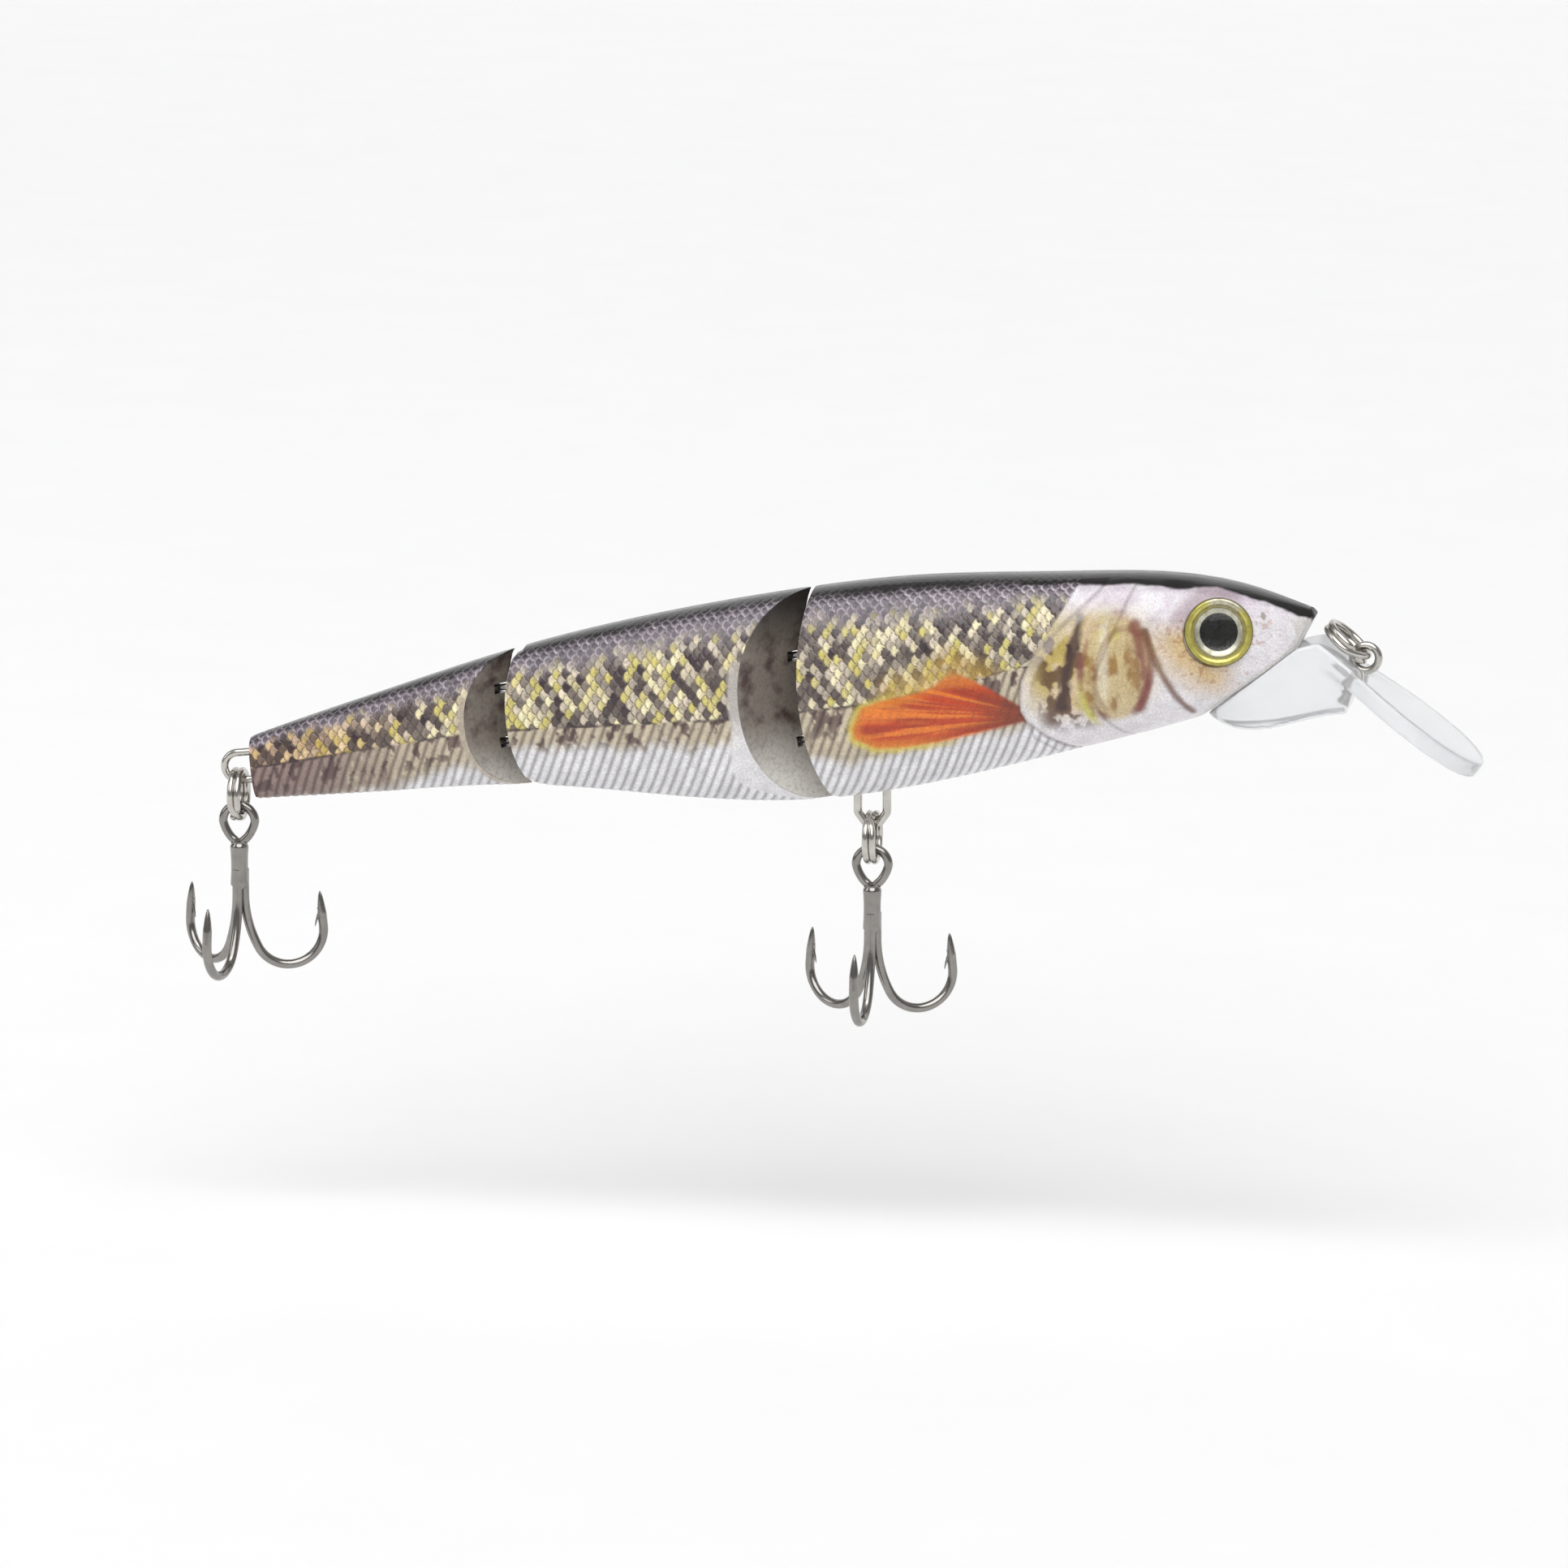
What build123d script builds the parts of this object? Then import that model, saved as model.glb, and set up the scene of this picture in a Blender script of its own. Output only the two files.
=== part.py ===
"""Three-section jointed swimbait with a clear diving lip, modelled as its separate pieces.

Frame: millimetres, origin at the centre of the line-tie eye, +X towards the nose, +Z up.
The body lies nose-up by body_pitch, and the hooks hang straight down from it.
Body sizes are given as a station along the body axis (negative towards the tail) and a
height square to it, both measured from the origin.
"""
from math import asin, atan2, copysign, cos, degrees, pi, radians, sin, sqrt, tan
import os

from build123d import *

os.makedirs("parts", exist_ok=True)

# ---------------------------------------------------------------- driving dimensions
body_pitch = 6.0             # degrees nose-up
wall = 1.3                   # moulded shell thickness

section_power = 2.4          # 2 would make the body's sections ellipses, more flattens their sides
section_points = 16
# station, top, bottom, half width of the body's oval sections, tail to nose
body_sections = [
    (-116.2, 0.4, -6.3, 2.1),
    (-102.0, 4.15, -6.45, 3.6),
    (-88.0, 7.5, -6.75, 4.8),
    (-73.0, 10.0, -8.9, 5.9),
    (-58.0, 11.5, -10.4, 6.5),
    (-45.0, 12.0, -9.5, 6.7),
    (-30.0, 11.25, -7.1, 6.4),
    (-18.0, 10.2, -4.8, 5.7),
    (-10.5, 8.2, -2.6, 4.4),
    (-4.3, 5.45, 0.9, 1.7),
]

# hinge between two sections: the front one ends in a bowed rim, the rear one in a wedge
rim_gap = 0.5                # from the front section's rim to the wedge's leading edge
wedge_angle = 42.0           # each wedge face, from straight across the body
bow_height = 0.8             # height of the rim's most rearward point
rim_1, bow_radius_1 = -57.4, 32.0
rim_2, bow_radius_2 = -88.2, 20.0
rim_2_top, rim_2_bottom = 7.45, -6.75      # body's back and belly at the second rim
top_corner, bottom_corner = 1.3, 2.6       # rounding of the second rim's corners
pin_setback = 1.8            # pin axis behind the wedge's leading edge
pin_radius = 0.5
pin_running_gap = 0.05
eyelet_wire = 0.35           # radius of the hinge eyelets' wire
eyelet_embedment = 4.4       # length of an eyelet's leg inside the front section
hinge_swing = 35.0           # degrees each way
eyelet_heights_1 = (4.6, -4.2)
eyelet_heights_2 = (3.5, -2.1)
slot_play = 0.2              # each side of an eyelet in its slot
pin_span_1 = (-7.2, 8.2)
pin_span_2 = (-4.4, 5.4)

# wire fittings
fitting_wire = 0.4           # radius of the line-tie and tail eye wire
fitting_loop = 1.3           # centre-line radius of those loops
hanger_wire = 0.45
hanger_x, hanger_z = -50.5, -18.7          # centre line of the belly hanger's lowest wire
hanger_half_width, hanger_height = 1.5, 8.6
hanger_neck, hanger_foot = 6.6, 1.1        # the straight wires lie between these heights
hanger_flat, hanger_bend = 0.7, 0.55
tail_eye_station, tail_eye_height = -117.9, -2.75
tail_eye_radius, tail_eye_legs = 1.45, 7.9
tie_leg = 5.2                              # of the line tie, inside the lip
tie_leg_slope = (-0.55, -0.835)            # along and up the body

# split rings and treble hooks
ring_radius, ring_wire = 2.44, 0.36        # coil centre line and wire radius
coil_offset = 0.34                         # each coil from the ring's middle
ring_clearance = 0.1                       # between a ring and the wire that it hangs on
tail_ring_play = 0.12
line_ring_lean = 41.0                      # degrees above level, lying back from the line tie
hook_wire = 0.48
hook_length = 18.0
hook_eye_radius = 1.2                      # inside the hook's eye
hook_eye_play = 0.8                        # from the pivot to the top of the eye's inside
shank_offset = 0.5                         # each shank's centre line from the treble's axis
bend_reach, bend_radius = 5.1, 3.6         # centre of each hook's bend
flare_height = 4.12                        # the shank leaves straight this far above that centre
shank_in_barrel = 2.0                      # length of shank inside the brazed barrel
point_lean, point_length = 5.5, 3.7
barrel_top_radius, barrel_bottom_radius = 1.2, 1.08
belly_tine_turn, tail_tine_turn = -3.0, -10.0

# eyes
eye_station, eye_height, eye_side = -14.2, 4.35, 3.6
eye_radius, eye_depth = 3.5, 1.75
eye_forward, eye_upward = 10.0, 8.0        # degrees that the eye looks forward and up
pupil_seat_radius, pupil_seat_depth = 2.65, 0.55
dome_height = 0.85

# mouth and clear lip
mouth_front = (-6.4, 2.0)
mouth_rear = (-24.0, -9.05)
nose_tip = (-4.3, 5.45)
# where the nose turns over into the back
nose_top, nose_middle, nose_foot = (-5.86, 6.43), (-4.75, 5.42), (-4.53, 4.15)
nose_plan_start, nose_plan_half_width = -6.6, 2.78
chin_half_width = 4.0
ridge = (-4.3, 2.35)
blade_slope = -42.3
blade_length, blade_half_width, blade_thickness = 20.7, 6.2, 1.8

# inner pieces
head_ballast_radius, head_ballast_length = 2.7, 8.4
head_ballast_place = (-43.0, -4.6)
mid_ballast_radius, mid_ballast_length = 2.2, 5.6
mid_ballast_place = (-70.2, -4.6)
head_ball_radius, mid_ball_radius = 2.4, 2.0
ball_gap = 0.1
rattle_start, rattle_end = -37.6, -27.6
mid_rattle_start, mid_rattle_end = -82.0, -74.4
head_ball_height, mid_ball_height = -3.6, -3.2
head_air, head_air_floor = (-47.2, -38.8), -1.2    # sealed air spaces
mid_air, mid_air_floor = (-73.2, -66.6), -1.8
nose_air, tail_air = (-26.4, -19.0), (-108.5, -96.0)

# ---------------------------------------------------------------- planes and small helpers
along = Vector(cos(radians(body_pitch)), 0, sin(radians(body_pitch)))
upward = Vector(-sin(radians(body_pitch)), 0, cos(radians(body_pitch)))
side = Plane(origin=(0, 0, 0), x_dir=along, z_dir=(0, -1, 0))
far = 30.0                   # larger than any half height or half width


def place(station, height, sideways=0.0):
    """A body station and height as a point of the frame."""
    return along * station + upward * height + Vector(0, sideways, 0)


def across(station, height=0.0):
    """The plane square to the body axis at a station, its y axis up."""
    return Plane(origin=place(station, height), x_dir=(0, 1, 0), z_dir=along)


def level(station, height):
    """The plane square to the hinge pins, its x axis along the body."""
    return Plane(origin=place(station, height), x_dir=along, z_dir=upward)


def oval(section, inset=0.0):
    """One of the body's sections as a sketch."""
    station, top, bottom, half_width = section
    half_height = (top - bottom) / 2
    points = []
    for step in range(section_points):
        turn = 2 * pi * step / section_points
        points.append(((half_width - inset) * copysign(abs(cos(turn))**(2 / section_power), cos(turn)),
                       (half_height - inset) * copysign(abs(sin(turn))**(2 / section_power), sin(turn))))
    with BuildSketch(across(station, (top + bottom) / 2)) as outline:
        with BuildLine():
            Spline(*points, periodic=True)
        make_face()
    return outline.sketch


def beyond_rim(rim, bow_radius, reach):
    """The side-view area beyond a bowed rim: towards the tail if reach is negative."""
    half = 15.0
    sag = bow_radius - sqrt(bow_radius**2 - half**2)
    top, bottom = (rim + sag, bow_height + half), (rim + sag, bow_height - half)
    with BuildSketch(side) as area:
        with BuildLine():
            ThreePointArc(top, (rim, bow_height), bottom)
            Polyline(bottom, (rim + reach, bottom[1]), (rim + reach, top[1]), top)
        make_face()
    return area.sketch


# ---------------------------------------------------------------- whole body form
with BuildPart() as body_form:
    for section in body_sections:
        add(oval(section))
    loft()

with BuildPart() as inner_form:
    for section in body_sections[:-1]:
        add(oval(section, wall))
    loft()


def chamber(start, end, floor=-far):
    """A closed air space inside the walls, from one station to another and above a floor."""
    with BuildPart() as space:
        add(inner_form.part)
        with BuildSketch(side):
            with BuildLine():
                Polyline((start, floor), (end, floor), (end, far), (start, far), close=True)
            make_face()
        extrude(amount=far, both=True, mode=Mode.INTERSECT)
    return space.part


# ---------------------------------------------------------------- wire fittings
def loop_with_leg(plane, loop_radius, wire, leg_end):
    """A wire eye in the plane's x-y, with a straight leg along its x axis and a ribbed end."""
    with BuildPart() as fitting:
        with BuildSketch(Plane(origin=plane.origin, x_dir=plane.x_dir, z_dir=plane.y_dir)):
            with Locations((loop_radius, 0)):
                Circle(wire)
        revolve(axis=Axis(plane.origin, plane.z_dir))
        root = plane.origin + plane.x_dir * loop_radius
        with BuildSketch(Plane(origin=root, z_dir=plane.x_dir)):
            Circle(wire)
        extrude(amount=leg_end - loop_radius)
        for rib in range(3):
            rib_root = plane.origin + plane.x_dir * (leg_end - 0.5 - rib)
            with BuildSketch(Plane(origin=rib_root, z_dir=plane.x_dir)):
                Circle(wire * 1.4)
            extrude(amount=0.4)
    return fitting.part


def hinge_eyelets(rim, heights):
    """The eyelets of one hinge, upper first: eyes round the pin, legs forward into the rim."""
    pin_station = rim - rim_gap - pin_setback
    eye = pin_radius + pin_running_gap + eyelet_wire
    leg_end = pin_setback + rim_gap + eyelet_embedment
    return [loop_with_leg(level(pin_station, height), eye, eyelet_wire, leg_end) for height in heights]


def hinge_pin(rim, span):
    """One hinge's pin, square to the body axis."""
    with BuildPart() as pin:
        with BuildSketch(level(rim - rim_gap - pin_setback, span[0])):
            Circle(pin_radius)
        extrude(amount=span[1] - span[0])
        chamfer(pin.edges().filter_by(GeomType.CIRCLE), 0.12)
    return pin.part


def cut_rim_corner(station, height, radius, rise):
    """Round the corner where a rim meets the back, rise 1, or the belly, rise -1."""
    reach = 3.0
    start, end = (station + radius, height), (station, height - rise * radius)
    middle = (station + radius * (1 - sqrt(0.5)), height - rise * radius * (1 - sqrt(0.5)))
    with BuildSketch(side) as corner:
        with BuildLine():
            ThreePointArc(start, middle, end)
            Polyline(end, (station - reach, end[1]), (station - reach, height + rise * reach),
                     (start[0], height + rise * reach), start)
        make_face()
    extrude(corner.sketch, amount=far, both=True, mode=Mode.SUBTRACT)


def cut_wedge(rim, bow_radius):
    """Cut the two wedge faces of a rear section, inside the part being built."""
    lead = beyond_rim(rim - rim_gap, bow_radius, -2 * rim)
    for hand in (-1, 1):
        slant = Vector(0, hand, 0) * cos(radians(wedge_angle)) - along * sin(radians(wedge_angle))
        extrude(lead, amount=2 * far, dir=slant, mode=Mode.SUBTRACT)


def cut_slots(rim, heights):
    """Cut the slots that the front section's eyelets turn in."""
    pin_station = rim - rim_gap - pin_setback
    outer = pin_radius + pin_running_gap + 2 * eyelet_wire + slot_play
    mouth = eyelet_wire + 2 * slot_play
    spread = mouth + far * tan(radians(hinge_swing + 3))
    for height in heights:
        with BuildSketch(level(pin_station, height - eyelet_wire - slot_play)) as slot:
            Circle(outer)
            with BuildLine():
                Polyline((0, mouth), (far, spread), (far, -spread), (0, -mouth), close=True)
            make_face()
        extrude(slot.sketch, amount=2 * (eyelet_wire + slot_play), mode=Mode.SUBTRACT)


joint1_eyelets = hinge_eyelets(rim_1, eyelet_heights_1)
joint2_eyelets = hinge_eyelets(rim_2, eyelet_heights_2)
joint1_pin = hinge_pin(rim_1, pin_span_1)
joint2_pin = hinge_pin(rim_2, pin_span_2)

tail_eye_plane = Plane(origin=place(tail_eye_station, tail_eye_height), x_dir=along, z_dir=(0, -1, 0))
with BuildPart() as tail_eye:
    with BuildLine(tail_eye_plane) as hairpin:
        Line((tail_eye_legs, tail_eye_radius), (0, tail_eye_radius))
        ThreePointArc((0, tail_eye_radius), (-tail_eye_radius, 0), (0, -tail_eye_radius))
        Line((0, -tail_eye_radius), (tail_eye_legs, -tail_eye_radius))
    with BuildSketch(Plane(origin=hairpin.line @ 0, z_dir=hairpin.line % 0)):
        Circle(fitting_wire)
    sweep()

leg_direction = along * tie_leg_slope[0] + upward * tie_leg_slope[1]
line_tie_eye = loop_with_leg(Plane(origin=(0, 0, 0), x_dir=leg_direction, z_dir=(0, 1, 0)),
                             fitting_loop, fitting_wire, tie_leg)

with BuildPart() as belly_hanger:
    with BuildLine(Plane.XZ.shift_origin((hanger_x, 0, hanger_z))) as hanger_path:
        FilletPolyline((hanger_flat, 0), (hanger_half_width, hanger_foot),
                       (hanger_half_width, hanger_neck), (hanger_flat, hanger_height),
                       (-hanger_flat, hanger_height), (-hanger_half_width, hanger_neck),
                       (-hanger_half_width, hanger_foot), (-hanger_flat, 0),
                       radius=hanger_bend, close=True)
    with BuildSketch(Plane(origin=hanger_path.line @ 0, z_dir=hanger_path.line % 0)):
        Circle(hanger_wire)
    sweep()

# ---------------------------------------------------------------- ballast and rattle balls
def slug(place_of, radius, length):
    """A cylindrical ballast slug lying along the body."""
    with BuildPart() as weight:
        with BuildSketch(across(place_of[0] - length / 2, place_of[1])):
            Circle(radius)
        extrude(amount=length)
        chamfer(weight.edges().filter_by(GeomType.CIRCLE), 0.3)
    return weight.part


def ball(centre, radius):
    """A rattle ball."""
    with BuildPart() as sphere:
        with Locations(centre):
            Sphere(radius)
    return sphere.part


head_ballast = slug(head_ballast_place, head_ballast_radius, head_ballast_length)
mid_ballast = slug(mid_ballast_place, mid_ballast_radius, mid_ballast_length)

head_ball_place = (rattle_start + head_ball_radius + ball_gap, head_ball_height)
mid_ball_place = (mid_rattle_start + mid_ball_radius + ball_gap, mid_ball_height)
head_rattle_ball = ball(place(*head_ball_place), head_ball_radius)
mid_rattle_ball = ball(place(*mid_ball_place), mid_ball_radius)

# ---------------------------------------------------------------- clear diving lip
blade_plane = Plane(origin=place(*ridge),
                    x_dir=along * cos(radians(blade_slope)) + upward * sin(radians(blade_slope)),
                    z_dir=along * -sin(radians(blade_slope)) + upward * cos(radians(blade_slope)))
mouth_slope = atan2(mouth_front[1] - mouth_rear[1], mouth_front[0] - mouth_rear[0])
mouth_plane = Plane(origin=place(*mouth_front),
                    x_dir=along * cos(mouth_slope) + upward * sin(mouth_slope), z_dir=(0, -1, 0))

with BuildPart() as diving_lip:
    # chin block: its side outline, narrowed to its outline seen from above
    with BuildSketch(side):
        with BuildLine():
            Line((-16.5, -4.34), mouth_front)
            Line(mouth_front, ridge)
            Polyline(ridge, (-0.6, -1.0), (-2.2, -5.2))
            Spline((-2.2, -5.2), (-5.4, -5.3), (-10.6, -5.95), (-16.5, -4.34))
        make_face()
    extrude(amount=chin_half_width + 1, both=True)
    with BuildSketch(level(0, 0)):
        with BuildLine():
            Spline((-16.6, 0.6), (-14.2, 3.0), (-10.5, chin_half_width), (-5.5, 3.4), (0.5, 3.2))
            Polyline((0.5, 3.2), (0.5, -3.2))
            Spline((0.5, -3.2), (-5.5, -3.4), (-10.5, -chin_half_width), (-14.2, -3.0), (-16.6, -0.6))
            Line((-16.6, -0.6), (-16.6, 0.6))
        make_face()
    extrude(amount=far, both=True, mode=Mode.INTERSECT)
    # blade, widening from the ridge to a rounded tip
    with BuildSketch(blade_plane):
        with BuildLine():
            Spline((0, 3.0), (4.5, 4.0), (9.5, 5.7), (14.2, blade_half_width),
                   (18.8, 4.6), (blade_length, 0), (18.8, -4.6), (14.2, -blade_half_width),
                   (9.5, -5.7), (4.5, -4.0), (0, -3.0),
                   tangents=((1, 0.25), (-1, 0.25)))
            Line((0, -3.0), (0, 3.0))
        make_face()
    extrude(amount=-blade_thickness)
    # tenon that is glued up into the head
    with BuildSketch(mouth_plane):
        with Locations((-5.4, 0.9)):
            Rectangle(4.4, 2.4)
    extrude(amount=1.2, both=True)
    add(line_tie_eye, mode=Mode.SUBTRACT)

# ---------------------------------------------------------------- eyes
def eye_plane(hand):
    """The seat of an eye: its centre and the way it looks; hand is -1 for the right side."""
    forward, rise = radians(eye_forward), radians(eye_upward)
    look = (Vector(0, hand, 0) * cos(forward) * cos(rise) + along * sin(forward)
            + upward * sin(rise))
    return Plane(origin=place(eye_station, eye_height, hand * eye_side), x_dir=along, z_dir=look)


def eye_disc(hand):
    """The painted eye: a bevelled rim round a recessed seat."""
    with BuildPart() as disc:
        with BuildSketch(eye_plane(hand)):
            Circle(eye_radius)
        extrude(amount=eye_depth)
        chamfer(disc.faces().sort_by(Axis(eye_plane(hand).origin, eye_plane(hand).z_dir))[-1].edges(),
                0.45)
        with BuildSketch(eye_plane(hand).offset(eye_depth - pupil_seat_depth)):
            Circle(pupil_seat_radius)
        extrude(amount=pupil_seat_depth, mode=Mode.SUBTRACT)
    return disc.part


def eye_dome(hand):
    """The clear lens that fills the seat and bulges out of it."""
    seat = eye_plane(hand).offset(eye_depth - pupil_seat_depth)
    dome_radius = (pupil_seat_radius**2 + dome_height**2) / (2 * dome_height)
    half_turn = asin(pupil_seat_radius / dome_radius) / 2
    dome_top = pupil_seat_depth + dome_height
    with BuildPart() as dome:
        with BuildSketch(Plane(origin=seat.origin, x_dir=seat.x_dir, z_dir=-seat.y_dir)):
            with BuildLine():
                Line((0, 0), (pupil_seat_radius, 0))
                Line((pupil_seat_radius, 0), (pupil_seat_radius, pupil_seat_depth))
                ThreePointArc((pupil_seat_radius, pupil_seat_depth),
                              (dome_radius * sin(half_turn), dome_top - dome_radius * (1 - cos(half_turn))),
                              (0, dome_top))
                Line((0, dome_top), (0, 0))
            make_face()
        revolve(axis=Axis(seat.origin, seat.z_dir))
    return dome.part


# ---------------------------------------------------------------- body sections as solid forms
def rim_sag(height):
    """How far forward the second rim has bowed at a height."""
    return bow_radius_2 - sqrt(bow_radius_2**2 - (height - bow_height)**2)


with BuildPart() as head_form:
    add(body_form.part)
    extrude(beyond_rim(rim_1, bow_radius_1, -100), amount=far, both=True, mode=Mode.SUBTRACT)
    with BuildSketch(side):
        with BuildLine():
            Polyline(mouth_rear, mouth_front, nose_tip, (far, nose_tip[1]), (far, -far),
                     (mouth_rear[0], -far), close=True)
        make_face()
    extrude(amount=far, both=True, mode=Mode.SUBTRACT)
    # the nose, rounded from the side and from above
    with BuildSketch(side):
        with BuildLine():
            ThreePointArc(nose_top, nose_middle, nose_foot)
            Polyline(nose_foot, (far, nose_foot[1]), (far, far), (nose_top[0], far), nose_top)
        make_face()
    extrude(amount=far, both=True, mode=Mode.SUBTRACT)
    with BuildSketch(level(0, 0)):
        with BuildLine():
            ThreePointArc((nose_plan_start, nose_plan_half_width), (nose_tip[0], 0),
                          (nose_plan_start, -nose_plan_half_width))
            Polyline((nose_plan_start, -nose_plan_half_width), (nose_plan_start, -far), (far, -far),
                     (far, far), (nose_plan_start, far), (nose_plan_start, nose_plan_half_width))
        make_face()
    extrude(amount=far, both=True, mode=Mode.SUBTRACT)
    for hand in (-1, 1):
        with BuildSketch(eye_plane(hand)):
            Circle(eye_radius)
        extrude(amount=far, mode=Mode.SUBTRACT)
    add(chamber(*head_air, floor=head_air_floor), mode=Mode.SUBTRACT)
    add(chamber(rattle_start, rattle_end), mode=Mode.SUBTRACT)
    add(chamber(*nose_air), mode=Mode.SUBTRACT)
    for inner in [*joint1_eyelets, belly_hanger.part, head_ballast, diving_lip.part]:
        add(inner, mode=Mode.SUBTRACT)

with BuildPart() as mid_form:
    add(body_form.part)
    cut_wedge(rim_1, bow_radius_1)
    extrude(beyond_rim(rim_2, bow_radius_2, -100), amount=far, both=True, mode=Mode.SUBTRACT)
    cut_rim_corner(rim_2 + rim_sag(rim_2_top - top_corner), rim_2_top, top_corner, 1)
    cut_rim_corner(rim_2 + rim_sag(rim_2_bottom + bottom_corner), rim_2_bottom, bottom_corner, -1)
    add(chamber(*mid_air, floor=mid_air_floor), mode=Mode.SUBTRACT)
    add(chamber(mid_rattle_start, mid_rattle_end), mode=Mode.SUBTRACT)
    cut_slots(rim_1, eyelet_heights_1)
    for inner in [*joint2_eyelets, joint1_pin, mid_ballast]:
        add(inner, mode=Mode.SUBTRACT)

with BuildPart() as tail_form:
    add(body_form.part)
    cut_wedge(rim_2, bow_radius_2)
    add(chamber(*tail_air), mode=Mode.SUBTRACT)
    cut_slots(rim_2, eyelet_heights_2)
    for inner in [joint2_pin, tail_eye.part]:
        add(inner, mode=Mode.SUBTRACT)

# ---------------------------------------------------------------- split rings and treble hooks
def split_ring(centre, axis):
    """A two-coil ring about an axis."""
    with BuildPart() as ring:
        for offset in (-coil_offset, coil_offset):
            coil = Plane(origin=centre + axis * offset, z_dir=axis)
            with BuildSketch(Plane(origin=coil.origin, x_dir=coil.x_dir, z_dir=coil.y_dir)):
                with Locations((ring_radius, 0)):
                    Circle(ring_wire)
            revolve(axis=Axis(coil.origin, coil.z_dir))
    return ring.part


eye_bar_top = hook_eye_play - hook_eye_radius       # eye centre, from the pivot
hook_bottom = hook_eye_play + 2 * hook_wire - hook_length + hook_wire
bend_centre_height = hook_bottom + bend_radius
barrel_end_height = bend_centre_height + flare_height + 0.6
flare_radius = ((flare_height**2 + (bend_reach - shank_offset)**2 - bend_radius**2)
                / (2 * (bend_reach - shank_offset - bend_radius)))
flare_turn = degrees(atan2(flare_height, shank_offset + flare_radius - bend_reach))


def tine(pivot, turn):
    """One hook of a treble, hanging from the pivot and pointing out at an angle about +Z."""
    outward = Vector(cos(radians(turn)), sin(radians(turn)), 0)
    plane = Plane(origin=pivot, x_dir=outward, z_dir=outward.cross(Vector(0, 0, 1)))
    shank_top = barrel_end_height + shank_in_barrel
    with BuildPart() as hook:
        with BuildLine(plane) as path:
            Line((shank_offset, shank_top), (shank_offset, bend_centre_height + flare_height))
            JernArc(path.line @ 1, path.line % 1, flare_radius, flare_turn)
            bend = JernArc(path.line @ 1, path.line % 1, bend_radius,
                           180 + point_lean - flare_turn)
            leg = Line(bend @ 1, (bend @ 1) + (bend % 1) * (point_length * 0.35))
        with BuildSketch(Plane(origin=path.line @ 0, z_dir=path.line % 0)):
            Circle(hook_wire)
        sweep()
        # needle point
        with BuildSketch(Plane(origin=leg @ 1, z_dir=leg % 1)) :
            Circle(hook_wire)
        with BuildSketch(Plane(origin=leg @ 1, z_dir=leg % 1).offset(point_length * 0.65)):
            Circle(0.06)
        loft()
        # barb on the inside of the point
        with BuildSketch(Plane(origin=leg @ 1, x_dir=-outward, z_dir=outward.cross(Vector(0, 0, 1)))):
            with BuildLine():
                Polyline((0.1, 1.1), (0.95, -0.55), (0.3, -0.1), close=True)
            make_face()
        extrude(amount=0.14, both=True)
    return hook.part


def hook_pair(pivot, turn):
    """Two tines and the eye, one bent wire, with the brazed barrel that joins the third."""
    with BuildPart() as pair:
        add(tine(pivot, turn + 30))
        add(tine(pivot, turn + 150))
        eye = Plane(origin=pivot + Vector(0, 0, eye_bar_top), x_dir=(1, 0, 0), z_dir=(0, 0, 1))
        with BuildSketch(eye):
            with Locations((hook_eye_radius + hook_wire, 0)):
                Circle(hook_wire)
        revolve(axis=Axis(eye.origin, (0, 1, 0)))
        barrel_top = eye.offset(-hook_eye_radius - hook_wire - 0.4)
        barrel_end = Plane(origin=pivot + Vector(0, 0, barrel_end_height))
        with BuildSketch(barrel_top):
            Circle(barrel_top_radius)
        with BuildSketch(barrel_end):
            Circle(barrel_bottom_radius)
        loft()
    return pair.part


def hook_single(pivot, turn, pair):
    """The third tine, fitted into the barrel of the pair."""
    with BuildPart() as single:
        add(tine(pivot, turn - 90))
        add(pair, mode=Mode.SUBTRACT)
    return single.part


def ring_drop(wire):
    """From the wire that a ring hangs on to the ring's centre and to the hook's pivot."""
    top = wire + ring_clearance + ring_wire
    return top - ring_radius, top - 2 * ring_radius


skyward = Vector(0, 0, 1)
hanger_point = Vector(hanger_x, 0, hanger_z)
tail_point = tail_eye_plane.origin - skyward * tail_eye_radius
belly_ring_centre, belly_pivot = [hanger_point + skyward * drop for drop in ring_drop(hanger_wire)]
tail_ring_centre, tail_pivot = [tail_point + skyward * (drop + tail_ring_play)
                               for drop in ring_drop(fitting_wire)]
line_lean = radians(line_ring_lean)
line_ring_centre = Vector(-cos(line_lean), 0, sin(line_lean)) * ring_radius
line_ring_axis = Vector(sin(line_lean), 0, cos(line_lean))

belly_hook_pair = hook_pair(belly_pivot, belly_tine_turn)
tail_hook_pair = hook_pair(tail_pivot, tail_tine_turn)

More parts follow.
